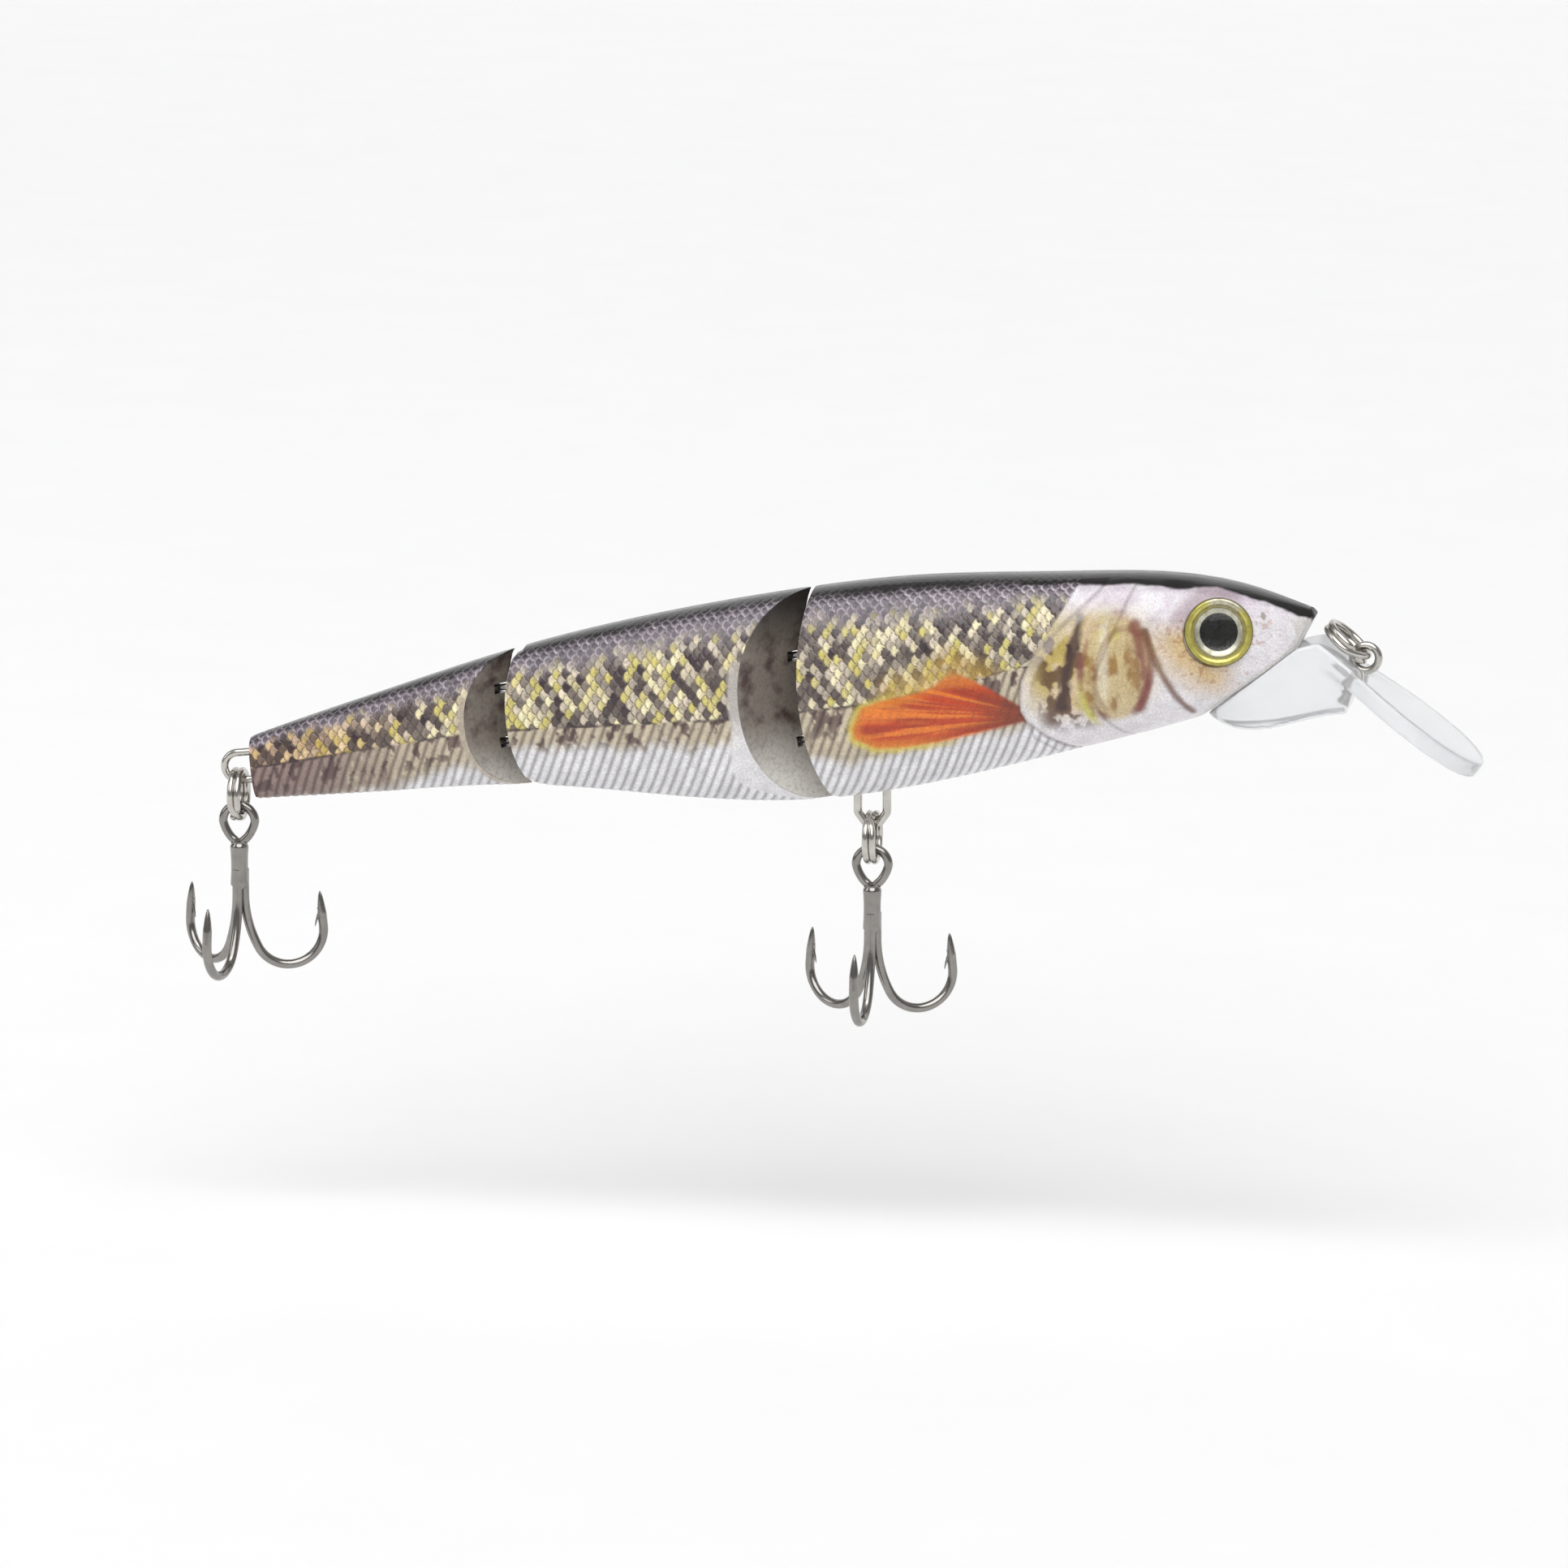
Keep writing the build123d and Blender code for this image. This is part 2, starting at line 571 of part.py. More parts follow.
# ---------------------------------------------------------------- finished pieces
pieces = {
    "diving_lip": diving_lip.part,
    "line_tie_eye": line_tie_eye,
    "line_tie_split_ring": split_ring(line_ring_centre, line_ring_axis),
    "belly_hanger": belly_hanger.part,
    "tail_hanger": tail_eye.part,
    "head_ballast": head_ballast,
    "mid_ballast": mid_ballast,
    "head_rattle_ball": head_rattle_ball,
    "mid_rattle_ball": mid_rattle_ball,
    "joint1_pin": joint1_pin,
    "joint2_pin": joint2_pin,
    "joint1_upper_eyelet": joint1_eyelets[0],
    "joint1_lower_eyelet": joint1_eyelets[1],
    "joint2_upper_eyelet": joint2_eyelets[0],
    "joint2_lower_eyelet": joint2_eyelets[1],
    "belly_split_ring": split_ring(belly_ring_centre, Vector(1, 0, 0)),
    "belly_hook_pair": belly_hook_pair,
    "belly_hook_single": hook_single(belly_pivot, belly_tine_turn, belly_hook_pair),
    "tail_split_ring": split_ring(tail_ring_centre, Vector(1, 0, 0)),
    "tail_hook_pair": tail_hook_pair,
    "tail_hook_single": hook_single(tail_pivot, tail_tine_turn, tail_hook_pair),
}
for name, hand in (("right", -1), ("left", 1)):
    pieces["eye_disc_" + name] = eye_disc(hand)
    pieces["eye_dome_" + name] = eye_dome(hand)
for section, form in (("head", head_form), ("mid", mid_form), ("tail", tail_form)):
    for name, kept in (("right", Keep.TOP), ("left", Keep.BOTTOM)):
        with BuildPart() as shell:
            add(form.part)
            split(bisect_by=Plane.XZ, keep=kept)
        pieces[f"{section}_shell_{name}"] = shell.part

for name, piece in pieces.items():
    piece.label = name
    export_step(piece, f"parts/{name}.step")
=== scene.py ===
"""Looks of the three-section jointed swimbait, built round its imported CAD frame.

The body's own terms are millimetres: `along` runs forward from the line-tie eye, so it is negative
towards the tail, and `height` is square to it. Meshes are in metres.
"""
from math import atan2, cos, pi, radians, sin, tan

import bpy
import numpy as np
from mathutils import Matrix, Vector
from mathutils.bvhtree import BVHTree


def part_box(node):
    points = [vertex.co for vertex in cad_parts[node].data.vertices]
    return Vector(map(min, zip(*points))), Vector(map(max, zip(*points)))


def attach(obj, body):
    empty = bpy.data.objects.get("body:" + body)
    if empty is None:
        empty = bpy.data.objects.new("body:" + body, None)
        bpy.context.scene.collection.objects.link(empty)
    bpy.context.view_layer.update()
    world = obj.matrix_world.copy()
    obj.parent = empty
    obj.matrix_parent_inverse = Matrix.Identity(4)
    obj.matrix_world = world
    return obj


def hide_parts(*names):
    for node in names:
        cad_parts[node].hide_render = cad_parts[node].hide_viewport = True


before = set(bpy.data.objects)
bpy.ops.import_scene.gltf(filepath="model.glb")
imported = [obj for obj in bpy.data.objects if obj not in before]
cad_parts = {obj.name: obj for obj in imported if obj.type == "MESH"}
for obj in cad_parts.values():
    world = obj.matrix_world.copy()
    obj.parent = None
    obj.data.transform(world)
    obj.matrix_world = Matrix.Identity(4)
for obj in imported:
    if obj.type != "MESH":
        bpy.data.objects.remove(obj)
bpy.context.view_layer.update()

# ---------------------------------------------------------------- the body's shape, as in the CAD
PITCH = radians(6.0)
ALONG = np.array([cos(PITCH), 0.0, sin(PITCH)])
UP = np.array([-sin(PITCH), 0.0, cos(PITCH)])
SIDEWAYS = np.array([0.0, 1.0, 0.0])
MM = 0.001                                # in metres
POWER = 2.4                               # of the oval sections
SECTIONS = np.array([                     # along, top, bottom, half width
    (-116.2, 0.4, -6.3, 2.1), (-102.0, 4.15, -6.45, 3.6), (-88.0, 7.5, -6.75, 4.8),
    (-73.0, 10.0, -8.9, 5.9), (-58.0, 11.5, -10.4, 6.5), (-45.0, 12.0, -9.5, 6.7),
    (-30.0, 11.25, -7.1, 6.4), (-18.0, 10.2, -4.8, 5.7), (-10.5, 8.2, -2.6, 4.4),
    (-4.3, 5.45, 0.9, 1.7)])
TAIL_END, NOSE_END = SECTIONS[0, 0], SECTIONS[-1, 0]
RIM_GAP, WEDGE, BOW_HEIGHT = 0.5, radians(42.0), 0.8
RIMS = {1: (-57.4, 32.0), 2: (-88.2, 20.0)}   # most rearward point, bow radius
RIM_CORNERS = ((7.45, 1.3, 1), (-6.75, 2.6, -1))   # of the second rim: height, radius, side
NOSE_PLAN = (-6.6, 2.78)                  # where the nose starts to round, seen from above
NOSE_ARC = ((-5.86, 6.43), (-4.75, 5.42), (-4.53, 4.15))   # from the side, its turn into the back
MOUTH_FRONT, MOUTH_REAR, NOSE_TIP = (-6.4, 2.0), (-24.0, -9.05), (-4.3, 5.45)
EYE, EYE_RADIUS = (-14.2, 4.35), 3.5
EYE_SIDE, EYE_DEPTH, EYE_FORWARD, EYE_RISE = 3.6, 1.75, radians(10.0), radians(8.0)


def spline(xs, ys):
    """A natural cubic spline through points, as a function."""
    xs, ys = np.asarray(xs, float), np.asarray(ys, float)
    gap, count = np.diff(xs), len(xs)
    system, right = np.eye(count), np.zeros(count)
    for i in range(1, count - 1):
        system[i, i - 1:i + 2] = gap[i - 1], 2 * (gap[i - 1] + gap[i]), gap[i]
        right[i] = 6 * ((ys[i + 1] - ys[i]) / gap[i] - (ys[i] - ys[i - 1]) / gap[i - 1])
    bend = np.linalg.solve(system, right)

    def value(x):
        x = np.asarray(x, float)
        i = np.clip(np.searchsorted(xs, x) - 1, 0, count - 2)
        a, b = (xs[i + 1] - x) / gap[i], (x - xs[i]) / gap[i]
        return (a * ys[i] + b * ys[i + 1]
                + ((a**3 - a) * bend[i] + (b**3 - b) * bend[i + 1]) * gap[i]**2 / 6)
    return value


body_top, body_bottom, body_width = (spline(SECTIONS[:, 0], SECTIONS[:, k]) for k in (1, 2, 3))


def surface(along, turn):
    """Height and half width of the body at a turn from its top, 0, to its bottom, pi."""
    middle = (body_top(along) + body_bottom(along)) / 2
    half = (body_top(along) - body_bottom(along)) / 2
    height = middle + half * np.sign(np.cos(turn)) * np.abs(np.cos(turn))**(2 / POWER)
    return height, body_width(along) * np.abs(np.sin(turn))**(2 / POWER)


def smooth(low, high, x):
    """From 0 at low to 1 at high."""
    t = np.clip((x - low) / (high - low), 0, 1)
    return t * t * (3 - 2 * t)


def line_at(x, points):
    """A line through points, its first numbers rising or falling, read at x."""
    points = np.array(sorted(points))
    return np.interp(x, points[:, 0], points[:, 1])


def along_at(height, points):
    """The same line read across: where it lies at a height."""
    return line_at(height, [(h, a) for a, h in points])


def noise(x, y, seed=0):
    """Smooth noise from 0 to 1 with features one unit across."""
    ix, iy = np.floor(x), np.floor(y)
    fx, fy = x - ix, y - iy
    fx, fy = fx * fx * (3 - 2 * fx), fy * fy * (3 - 2 * fy)
    corner = [lattice(ix + a, iy + b, seed) for a in (0, 1) for b in (0, 1)]
    low = corner[0] * (1 - fy) + corner[1] * fy
    return low * (1 - fx) + (corner[2] * (1 - fy) + corner[3] * fy) * fx


def lattice(i, j, seed=0):
    """A fixed random number from 0 to 1 for each pair of whole numbers."""
    mixed = np.sin(i * 127.1 + j * 311.7 + seed * 74.7) * 43758.5453
    return mixed - np.floor(mixed)


def cloud(x, y, seed=0):
    """Three octaves of noise."""
    return (noise(x, y, seed) * 4 + noise(2.1 * x, 2.1 * y, seed + 1) * 2
            + noise(4.3 * x, 4.3 * y, seed + 2)) / 7


def rim(joint, height):
    """Where the front section's bowed rim lies at a height."""
    start, bow = RIMS[joint]
    return start + bow - np.sqrt(bow**2 - (height - BOW_HEIGHT)**2)


def rounded_rim(height, _width):
    """The second rim with its corners rounded."""
    cut = rim(2, height)
    for corner, radius, side in RIM_CORNERS:
        deep = np.clip(radius - side * (corner - height), 0, radius)
        round_cut = rim(2, corner - side * radius) + radius - np.sqrt(radius**2 - deep**2)
        cut = np.where(deep > 0, np.maximum(cut, round_cut), cut)
    return cut


def wedge(joint, height, width):
    """Where a rear section's wedge face lies."""
    return rim(joint, height) - RIM_GAP - width * tan(WEDGE)


def circle_through(a, b, c):
    """Centre and radius of the circle through three points."""
    a, b, c = (np.array(p) for p in (a, b, c))
    rows = 2 * np.array([b - a, c - a])
    centre = np.linalg.solve(rows, [b @ b - a @ a, c @ c - a @ a])
    return centre, np.linalg.norm(a - centre)


def mouth(height, width):
    """Where the head ends at the mouth and the nose."""
    lower = (MOUTH_FRONT[0] - MOUTH_REAR[0]) / (MOUTH_FRONT[1] - MOUTH_REAR[1])
    upper = (NOSE_TIP[0] - MOUTH_FRONT[0]) / (NOSE_TIP[1] - MOUTH_FRONT[1])
    rise = height - MOUTH_FRONT[1]
    straight = MOUTH_FRONT[0] + rise * np.where(rise < 0, lower, upper)
    back, half = NOSE_TIP[0] - NOSE_PLAN[0], NOSE_PLAN[1]
    radius = (back**2 + half**2) / (2 * back)
    plan = NOSE_TIP[0] - radius + np.sqrt(np.clip(radius**2 - np.minimum(width, half)**2, 0, None))
    plan = np.where(width > half, NOSE_END + 1, plan)
    centre, turning = circle_through(*NOSE_ARC)
    over = centre[0] + np.sqrt(np.clip(turning**2 - (height - centre[1])**2, 0, None))
    over = np.where(height > NOSE_ARC[2][1], over, NOSE_END + 1)
    return np.minimum(np.minimum(straight, plan), over)


ENDS = {                                  # rear and front limits, and the ends' cutting lines
    "head": (-57.4, NOSE_END, lambda h, w: rim(1, h), mouth),
    "mid": (-88.2, -55.0, rounded_rim, lambda h, w: wedge(1, h, w)),
    "tail": (TAIL_END, -84.0, lambda h, w: h * 0 + TAIL_END, lambda h, w: wedge(2, h, w))}


def cut_at(cutting, turn, inside, outside):
    """The along of a cutting line at each turn, found between a point inside and one outside."""
    inside, outside = turn * 0.0 + inside, turn * 0.0 + outside
    facing = np.sign(outside - inside)
    for _ in range(40):
        middle = (inside + outside) / 2
        kept = facing * (cutting(*surface(middle, turn)) - middle) > 0
        inside, outside = np.where(kept, middle, inside), np.where(kept, outside, middle)
    return inside


# ---------------------------------------------------------------- the body's pattern, with its painted shade and highlights
LATERAL_LINE = [(-116.2, -2.75), (-104.4, -1.5), (-93.3, -0.4), (-88.4, -0.3), (-76.3, -0.4),
                (-64.0, -0.6), (-56.0, -0.2), (-50.1, 0.0), (-42.5, 1.0), (-34.3, 2.7)]
BACK_EDGE = [(-116.2, 0.2), (-112.0, 1.1), (-99.9, 4.0), (-87.8, 6.9), (-80.9, 8.0), (-68.2, 9.9),
             (-58.9, 10.7), (-47.0, 10.9), (-38.7, 10.8), (-27.9, 10.3), (-19.6, 9.5),
             (-17.9, 9.0), (-14.0, 8.8), (-9.2, 6.9), (-6.1, 5.1), (-4.3, 4.5)]
SCALE_FRONT = [(-27.6, 11.5), (-27.9, 10.3), (-30.3, 7.1), (-33.0, 3.5), (-34.3, 2.7)]
GILL_REAR = [(-24.6, 11.0), (-25.7, 9.8), (-29.5, 6.6), (-33.0, 3.5), (-34.3, 1.2), (-34.6, -0.4),
             (-34.7, -1.9), (-34.2, -3.1), (-32.5, -4.9), (-30.6, -6.3), (-28.9, -7.2)]
GILL_FRONT = [(-21.5, 10.6), (-22.6, 9.1), (-24.1, 6.2), (-26.0, 2.7), (-27.1, 0.4), (-27.0, -1.9),
              (-26.3, -3.6), (-25.0, -5.0), (-23.2, -6.2)]
DARK_BAND = [(-27.8, 7.2), (-28.8, 4.1), (-29.6, 1.7), (-30.5, -1.5)]
CHEEK_LINE = [(-21.3, 5.2), (-20.4, 1.8), (-19.0, -1.5), (-17.6, -3.6)]
MAROON_LINE = [(-22.3, 6.0), (-21.9, 3.0), (-21.6, 0.0), (-22.6, -2.6)]
CHIN_LINE = [(-34.4, -2.4), (-33.6, -5.0), (-31.4, -7.0)]
FIN = [(-41.2, 2.9), (-38.8, 1.5), (-36.8, 0.2), (-34.7, -1.3), (-32.8, -2.8), (-34.6, -3.1),
       (-39.4, -3.9), (-43.3, -4.5), (-47.1, -4.8), (-49.9, -4.7), (-52.0, -3.5), (-52.1, -2.4),
       (-50.9, -0.3), (-48.8, 0.3), (-45.3, 0.8), (-43.4, 1.3), (-42.3, 2.1)]
FIN_ROOT = (-32.6, -2.6)
WHITE_EDGE = [(-116.2, -9.0), (-104.0, -6.0), (-96.0, -4.4), (-88.0, -2.6), (-81.4, -2.6),
              (-64.6, -3.2), (-52.6, -6.0), (-44.0, -5.0), (-34.0, -3.4)]
SCALE_PITCH, SCALE_ROW = 1.0, 0.7
RIB_PITCH, RIB_SLANT = 1.05, tan(radians(26.0))


def to_line(along, height, points):
    """Distance from an open line of points."""
    best = np.full(np.shape(along), 1e9)
    for (a0, h0), (a1, h1) in zip(points[:-1], points[1:]):
        da, dh = a1 - a0, h1 - h0
        t = np.clip(((along - a0) * da + (height - h0) * dh) / (da * da + dh * dh), 0, 1)
        best = np.minimum(best, np.hypot(along - a0 - t * da, height - h0 - t * dh))
    return best


def within(along, height, points):
    """Distance inside a closed outline, negative outside it."""
    inside = np.zeros(np.shape(along), bool)
    for (a0, h0), (a1, h1) in zip(points, points[1:] + points[:1]):
        if h0 != h1:
            crosses = (height < h0) != (height < h1)
            inside ^= crosses & (along < a0 + (height - h0) * (a1 - a0) / (h1 - h0))
    away = to_line(along, height, points + points[:1])
    return np.where(inside, away, -away)


def ellipse(along, height, centre, size, lean=0.0):
    """1 at an ellipse's centre, 0 on its edge and negative outside; lean tips it back."""
    da, dh = along - centre[0], height - centre[1]
    across, up = da * cos(lean) + dh * sin(lean), dh * cos(lean) - da * sin(lean)
    return 1 - np.hypot(across / size[0], up / size[1])


def colour(red, green, blue):
    """An sRGB colour as linear light."""
    c = np.array([red, green, blue]) / 255
    return np.where(c < 0.04045, c / 12.92, ((c + 0.055) / 1.055)**2.4)


def scales(along, girth):
    """For each point the scale on top there: its two numbers, its place on it, and its relief.

    Rows lie along the body. Each scale is overlapped from the front, so its free edge is a U
    that points to the tail.
    """
    row0 = np.round(girth / SCALE_ROW)
    best = np.full(along.shape, -1e9)
    column, row, back, side = (np.zeros(along.shape) for _ in range(4))
    for step in (-1, 0, 1):
        this_row = row0 + step
        shift = 0.5 * np.mod(this_row, 2)
        first = np.round(along / SCALE_PITCH - shift)
        for ahead in (0, 1):
            centre = (first + ahead + shift) * SCALE_PITCH
            da, dg = along - centre, girth - this_row * SCALE_ROW
            covers = np.hypot(da / 0.86, dg / 0.74) < 1
            wins = covers & (centre > best)
            best = np.where(wins, centre, best)
            column, row = np.where(wins, first + ahead, column), np.where(wins, this_row, row)
            back, side = np.where(wins, -da / 0.86, back), np.where(wins, dg / 0.74, side)
    edge = 1 - np.hypot(back, side)
    relief = smooth(0, 0.22, edge) * (0.35 + 0.65 * smooth(-0.6, 0.9, back))
    return column, row, back, edge, relief


def eye_distance(along, height):
    """From the middle of the eye, seen from the side."""
    return np.hypot(along - EYE[0], height - EYE[1])


def paint(part, along, height, girth, width, turn):
    """Colour with its painted shade and highlights, relief in millimetres, and gloss of one side of a
    section.
    """
    column, row, back, edge, scale_relief = scales(along, girth)
    chance, chance2, chance3 = (lattice(column, row, seed) for seed in (1, 2, 3))
    centre_a = (column + 0.5 * np.mod(row, 2)) * SCALE_PITCH
    centre_g = row * SCALE_ROW
    band = height - line_at(along, BACK_EDGE)           # above the back's dark edge
    scaled = smooth(-0.15, 0.1, girth)
    brown_tail = smooth(-92.0, -112.0, along)

    # scales: gold and dark groups on a staggered lattice, grey near the back
    swing = 1.1 * (cloud(centre_a / 5, centre_g / 5, 5) - 0.5)
    groups = (0.62 * np.cos(2 * pi * (centre_a / 2.0 + swing)) * np.cos(2 * pi * (centre_g / 5.6 + swing))
              + 1.1 * (noise(centre_a / 1.3 + 9, centre_g / 2.1, 6) - 0.5) + 0.4 * (chance - 0.5))
    gold = smooth(0.05, 0.32, groups)
    dark = smooth(-0.03, 0.24, -groups)
    base = colour(205, 192, 172) * (0.62 + 0.5 * chance2)[..., None]
    gold_tone = mix(colour(190, 178, 104), colour(224, 212, 174), smooth(0.3, 0.8, chance3))
    skin = mix(base, gold_tone, gold)
    skin = mix(skin, colour(52, 36, 42), dark * (0.74 + 0.26 * chance3))
    skin = mix(skin, skin * colour(208, 176, 156) * 1.2, brown_tail * 0.7)
    tall = body_top(along) - line_at(along, LATERAL_LINE)
    grey = smooth(-0.34 * tall, -0.08 * tall, band + 1.6 * (cloud(along / 1.6, height / 3, 8) - 0.5))
    # grey near the back, each scale painted lighter towards its rear edge as a highlight
    grey_with_painted_highlight = mix(colour(78, 68, 78), colour(184, 174, 182),
                    smooth(0.4, 0.1, edge) * smooth(-0.2, 0.5, back))
    skin = mix(skin, grey_with_painted_highlight * (0.7 + 0.6 * chance2)[..., None], grey)
    fleck = smooth(0.55, 0.8, cloud(along / 0.55, girth / 0.5, 11))
    skin = mix(skin, skin * 0.45, fleck * 0.65 * (1 - 0.4 * gold))
    # dark scale outlines: part of the pattern, deepened with painted shade in the grooves between scales
    skin = mix(skin, colour(48, 36, 42), smooth(0.16, 0.03, edge) * 0.72)
    # a painted highlight on the rear, raised part of each scale
    skin = mix(skin, np.minimum(skin * 1.5, 1), smooth(0.25, 0.5, back) * smooth(0.02, 0.2, edge) * 0.5)

    # ribs, below the lateral line
    rib_at = (along - RIB_SLANT * girth) / RIB_PITCH
    rib_number, rib_phase = np.floor(rib_at), np.abs(rib_at - np.floor(rib_at) - 0.5) * 2
    white = smooth(0.9, -0.9, height - line_at(along, WHITE_EDGE)
                   + 1.6 * (cloud(along / 1.6, height / 2.2, 21) - 0.5))
    ribs = mix(colour(196, 184, 160), colour(232, 232, 235), white)
    ribs = ribs * (0.9 + 0.16 * lattice(rib_number, np.floor(girth / 2.5), 4))[..., None]
    ribs = mix(ribs, colour(140, 118, 112), brown_tail * smooth(0.35, 0.6, cloud(along / 1.5, height / 2, 31)
                                                             + 0.25 * brown_tail))
    depth = -girth
    blob = cloud(along / 0.9 + 3, girth / 1.15, 41) + 0.1 * lattice(rib_number, 7, 6)
    blob = smooth(0.58, 0.72, blob) * smooth(5.2, 1.5, depth) * (1 - 0.85 * white)
    ribs = mix(ribs, colour(82, 56, 58), blob * 0.85)
    # painted shade in the grooves between the ribs
    groove = smooth(0.3, 0.92, rib_phase)
    ribs = mix(ribs, ribs * colour(168, 160, 162), groove * (0.9 - 0.15 * white))
    tone = mix(ribs, skin, scaled)
    line = smooth(0.22, 0.05, np.abs(girth))
    tone = mix(tone, colour(58, 40, 45), line * 0.8 * smooth(0.35, 0.6, cloud(along / 1.3, girth, 51)))
    rib_relief = np.cos(rib_phase * pi / 2)**0.7
    relief = np.where(girth > 0, 0.16 * scale_relief, 0.13 * rib_relief) - 0.1 * line
    gloss = np.full(along.shape, 0.35)

    if part == "head":
        tone, relief = paint_head(along, height, girth, width, tone, relief, rib_phase)
    smooth_band = np.zeros(along.shape)
    if part == "mid":
        # the unprinted edge beside the wedge widens towards the belly
        margin = wedge(1, height, width) - along
        breadth = 1.1 + 2.6 * smooth(-1.0, -8.5, height) * smooth(-10.3, -7.5, height)
        smooth_band = smooth(breadth + 0.25, breadth - 0.25, margin) * smooth(6.5, 3.5, height)
        pale = mix(colour(182, 176, 170), colour(222, 220, 222), smooth(1.0, -4.5, height))
        tone = mix(tone, pale * (0.9 + 0.2 * cloud(along, height, 61))[..., None], smooth_band)
    if part == "tail":
        margin = wedge(2, height, width) - along
        smooth_band = smooth(0.9, 0.5, margin) * smooth(5.0, 2.5, height)
        tone = mix(tone, colour(178, 166, 150), smooth_band * 0.8)
    relief = relief * (1 - smooth_band)

    # the dark back: sharp on the head, soft further back
    softness = np.where(along > -34, 0.16, 0.55)
    wobble = 0.35 * (cloud(along / 1.7, height, 71) - 0.5)
    back = smooth(-1.0, 1.0, (band + wobble) / softness)
    tone = mix(tone, colour(24, 21, 20), back)
    relief = relief * (1 - 0.92 * smooth(-0.4, 0.7, band))
    gloss = gloss * (1 - back) + 0.2 * back
    seam = smooth(0.12, 0.03, width) * (turn < pi / 2)
    return np.clip(tone, 0, 1), relief - 0.03 * seam, gloss


def mix(under, over, amount):
    """Paint over what is under it; amount is one number for each point."""
    return under * (1 - amount[..., None]) + over * amount[..., None]


